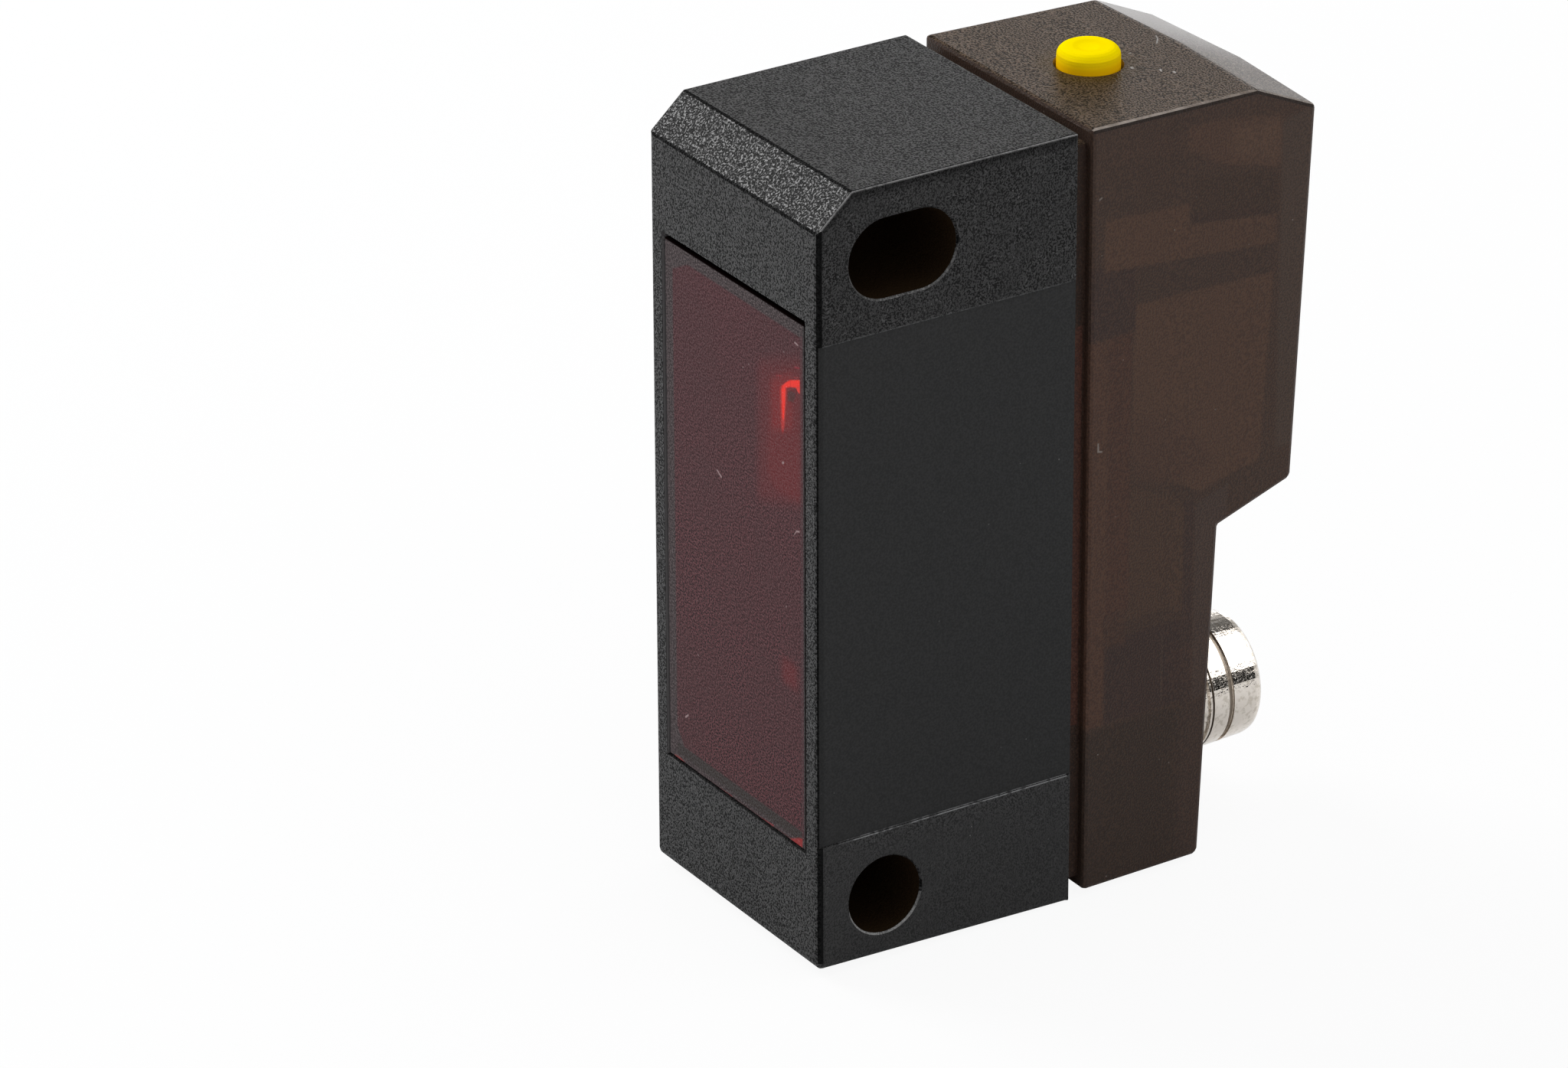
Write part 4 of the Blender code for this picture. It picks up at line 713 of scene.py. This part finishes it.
def cover_material():
    """Smoky brown plastic: nearly opaque, finely grained, with painted light and shade for the dim
    shapes of what lies behind.
    """
    shade = Shade("smoky_brown_cover")
    x, y, z = shade.axes()
    facing_x, facing_y, facing_z = shade.facing()
    sideways = shade.math("ABSOLUTE", facing_x)
    flank = shade.spread_mm(shade.math("ABSOLUTE", x), 6.6, 6.9)
    upward = shade.spread(facing_z, 0.45, 0.85)
    outside = shade.spread_mm(y, *SEAM)
    reach = from_button(shade, x, y)
    fine = shade.noise(*GRAIN)
    grained = shade.spread(fine, *GRAINED)

    # The sides: painted light and shade for what lies behind, a plain foot, painted shade in the
    # groove with the spigot's painted reddish glow, and the grain
    slow = shade.spread(shade.noise(5.0, 3.0), 0.35, 0.65)
    body = shade.mix(slow, (0.057, 0.0340, 0.0248), (0.061, 0.0370, 0.0272))
    # Painted light and shade for the shapes that show through the sides
    body = shade.painted(body, COVER_PATCHES, within=flank)
    foot = shade.spread_mm(z, 9.2, 9.8, 1.0, 0.0)
    foot_tone = shade.mix(
        shade.spread_mm(y, 6.4, 7.4), (0.0385, 0.0255, 0.0195), (0.051, 0.0320, 0.0250))
    body = shade.mix(foot, body, foot_tone)
    # Painted shade in the groove, with the spigot's painted reddish glow
    groove_tone = shade.mix(
        shade.inside(SPIGOT_GLOW, 0.06), (0.024, 0.0125, 0.0085), (0.068, 0.023, 0.0150))
    body = shade.mix(shade.spread_mm(y, *SEAM, 1.0, 0.0), body, groove_tone)
    darker = shade.spread(fine, *GRAINED, 0.0, 0.48)
    body = shade.mix(darker, body, (0.024, 0.0155, 0.0120))
    lighter = shade.spread(fine, 0.55, 0.35, 0.0, 0.30)
    body = shade.mix(lighter, body, (0.110, 0.069, 0.051))

    # The roof: frosted, with the button's yellow glow painted round it and a painted highlight on
    # the slope at its rear
    frost_and_painted_light = shade.mix(grained, (0.011, 0.0070, 0.0040), (0.095, 0.060, 0.036))
    frost_and_painted_light = shade.mix(shade.spread_mm(reach, 1.7, 3.2, 0.55, 0.0), frost_and_painted_light, BUTTON_GLOW)
    rear = shade.both(
        shade.spread(facing_z, 0.995, 0.965), shade.spread(facing_z, 0.55, 0.7),
        shade.spread(facing_y, 0.08, 0.2))
    frost_and_painted_light = shade.mix(shade.both(rear, shade.spread_mm(x, 4, -7)), frost_and_painted_light, REAR_SLOPE_HIGHLIGHT)
    colour = shade.mix(upward, body, frost_and_painted_light)

    # Rounded edges: a painted highlight above, patchy along its length, and painted shade below it
    rim = shade.both(
        shade.between(sideways, 0.28, 0.80, 0.01), shade.spread(facing_z, 0.4, 0.5), outside)
    line_strength = shade.spread(shade.noise(0.7), 0.35, 0.65, 0.6, 1.0)
    paler = shade.spread_mm(y, 2, 13, 1.0, 0.55)
    colour = shade.mix(shade.both(rim, line_strength, paler), colour, COVER_EDGE_HIGHLIGHT)
    edge_shade = shade.both(
        shade.between(sideways, 0.85, 0.985, 0.01), shade.spread(facing_z, 0.12, 0.2), outside)
    colour = shade.mix(edge_shade, colour, COVER_EDGE_SHADE)

    # The button's colour in the edge of its hole as painted bounce light, then marks and dust
    bounce = shade.both(shade.spread_mm(reach, 1.95, 1.85), shade.spread(facing_z, 0.5, 0.3))
    colour = shade.mix(bounce, colour, BUTTON_BOUNCE)
    colour = shade.painted(colour, COVER_MARKS, within=flank)
    colour = shade.painted(colour, ROOF_MARKS, "top", within=upward)
    colour = shade.mix(shade.both(shade.dust(0.8, 0.045, 1.3, 0.54), 0.7), colour, COVER_DUST)

    bumps = shade.spread(fine, 0.35, 0.7)
    gloss = shade.spread(fine, *GRAINED, 0.10, 0.16)
    shade.set(
        Base_Color=colour,
        Roughness=shade.spread(bumps, 0.0, 1.0, 0.44, 0.36),
        Specular_IOR_Level=shade.weighed(gloss, (upward, -0.045), (rear, 0.17)),
        Normal=shade.bump(bumps, 1.0, 0.014))
    veil = shade.add("ShaderNodeBsdfTransparent")
    veil.inputs["Color"].default_value = VEIL
    shade.cover_with(shade.spread(upward, 0.0, 1.0, 0.06, 0.02), veil.outputs[0])
    return shade.material


# Painted shade in a ring round the button's dish
DISH_SHADE = (0.90, 0.66, 0.0)


def button_material():
    """Satin yellow plastic, deeper in tone down its side, with painted shade in a faint ring round
    its dish. The side's normal is bent upward, more so near the top, to catch more light."""
    shade = Shade("yellow_button")
    x, y, z = shade.axes()
    upward = shade.spread(shade.facing()[2], 0.2, 0.8)
    height = shade.spread_mm(z, 43.3, 43.95)
    top = shade.mix(shade.noise(1.6), (0.98, 0.75, 0.0), (1.0, 0.79, 0.0))
    # Painted shade in a faint ring round the dish
    dish_shade = shade.between_mm(from_button(shade, x, y), 0.55, 0.85, 0.12)
    top = shade.mix(shade.both(dish_shade, 0.4), top, DISH_SHADE)
    side = shade.mix(height, (0.94, 0.53, 0.002), (1.0, 0.70, 0.003))
    bend = shade.both(shade.less(upward), shade.spread(height, 0.0, 1.0, 0.12, 0.62))
    own_normal = shade.add("ShaderNodeNewGeometry").outputs["Normal"]
    normal = shade.mix_normals(bend, own_normal, (0, 0, 1))
    shade.set(
        Base_Color=shade.mix(upward, side, top), Roughness=0.55, Specular_IOR_Level=0.0,
        Normal=shade.bump(shade.noise(0.15), 0.3, 0.01, before=normal))
    return shade.material


SHELL_GROOVES = ((28.80, 29.07, 0.03), (27.64, 27.78, 0.02))  # from, to, soft edge
SHELL_STAIN = (0.54, 0.48, 0.40)
SHELL_GROOVE = (0.28, 0.235, 0.19)


def nickel_material():
    """Tumbled nickel plating: bright, stained in spots, with a fine rough skin, faint turning
    marks and dull grooves."""
    shade = Shade("nickel_plating")
    y = shade.axes()[1]
    skin = shade.bump(shade.noise(0.16, 2.0, 0.6), 1.0, 0.016)
    turned = shade.noise(0.20, 2.0, 0.6, stretch=(0.6, 1.4, 0.6))
    stained = shade.spread(shade.noise(0.28, 2.0, 0.6), 0.48, 0.66, 0.0, 0.65)
    colour = shade.mix(shade.noise(1.2, 3.0), (0.78, 0.71, 0.63), (0.86, 0.80, 0.73))
    colour = shade.mix(stained, colour, SHELL_STAIN)
    line_strength = shade.greatest(*[
        shade.between_mm(y, FACE_Y + start, FACE_Y + end, soft)
        for start, end, soft in SHELL_GROOVES])
    shade.set(
        Base_Color=shade.mix(line_strength, colour, SHELL_GROOVE), Metallic=1.0,
        Roughness=shade.spread(line_strength, 0.0, 1.0, 0.08, 0.45),
        Normal=shade.bump(turned, 1.0, 0.017, before=skin))
    return shade.material


# What is inside, and the connector's face (piece names, then the material's name, colour,
# roughness and how metallic it is)
PLAIN_LOOKS = (
    (("housing_seal", "button_boot", "connector_seal"), ("seal_rubber", (0.02, 0.02, 0.02), 0.8)),
    (("switch_plunger", "optics_carrier", "board_header", "signal_chip", "connector_insert",
      "receiver_diode"), ("black_moulding", (0.03, 0.03, 0.03), 0.5)),
    (("optics_board", "main_board", "pin_board"), ("board_laminate", (0.02, 0.09, 0.05), 0.4)),
    (("contact_pin_1", "contact_pin_2", "contact_pin_3", "contact_pin_4"),
     ("gold_plating", (0.83, 0.62, 0.25), 0.25, 1.0)),
    (("receiver_lens", "emitter_lens"), ("lens_plastic", (0.6, 0.6, 0.6), 0.1)),
    (("emitter_led",), ("emitter_resin", (0.7, 0.2, 0.2), 0.15)),
    (("tact_switch",), ("switch_metal", (0.5, 0.5, 0.52), 0.35, 1.0)),
    (("output_led",), ("amber_lamp", (0.8, 0.5, 0.1), 0.3)),
    (("power_led",), ("green_lamp", (0.2, 0.7, 0.25), 0.3)),
)


def plain_material(name, colour, roughness, metallic=0.0):
    """A cloudy colour that goes down to four fifths of itself."""
    shade = Shade(name)
    darker = tuple(part * 0.8 for part in colour)
    shade.set(
        Base_Color=shade.mix(shade.noise(1.4), darker, colour),
        Roughness=roughness, Metallic=metallic)
    return shade.material


def dress_all():
    dress("front_housing", housing_material())
    dress("front_window", window_material())
    dress("rear_cover", cover_material())
    dress("teach_button", button_material())
    dress("connector_shell", nickel_material())
    for names, look in PLAIN_LOOKS:
        material = plain_material(*look)
        for name in names:
            dress(name, material)


add_camera()
add_studio()
dress_all()
bpy.context.scene.view_settings.view_transform = "Standard"
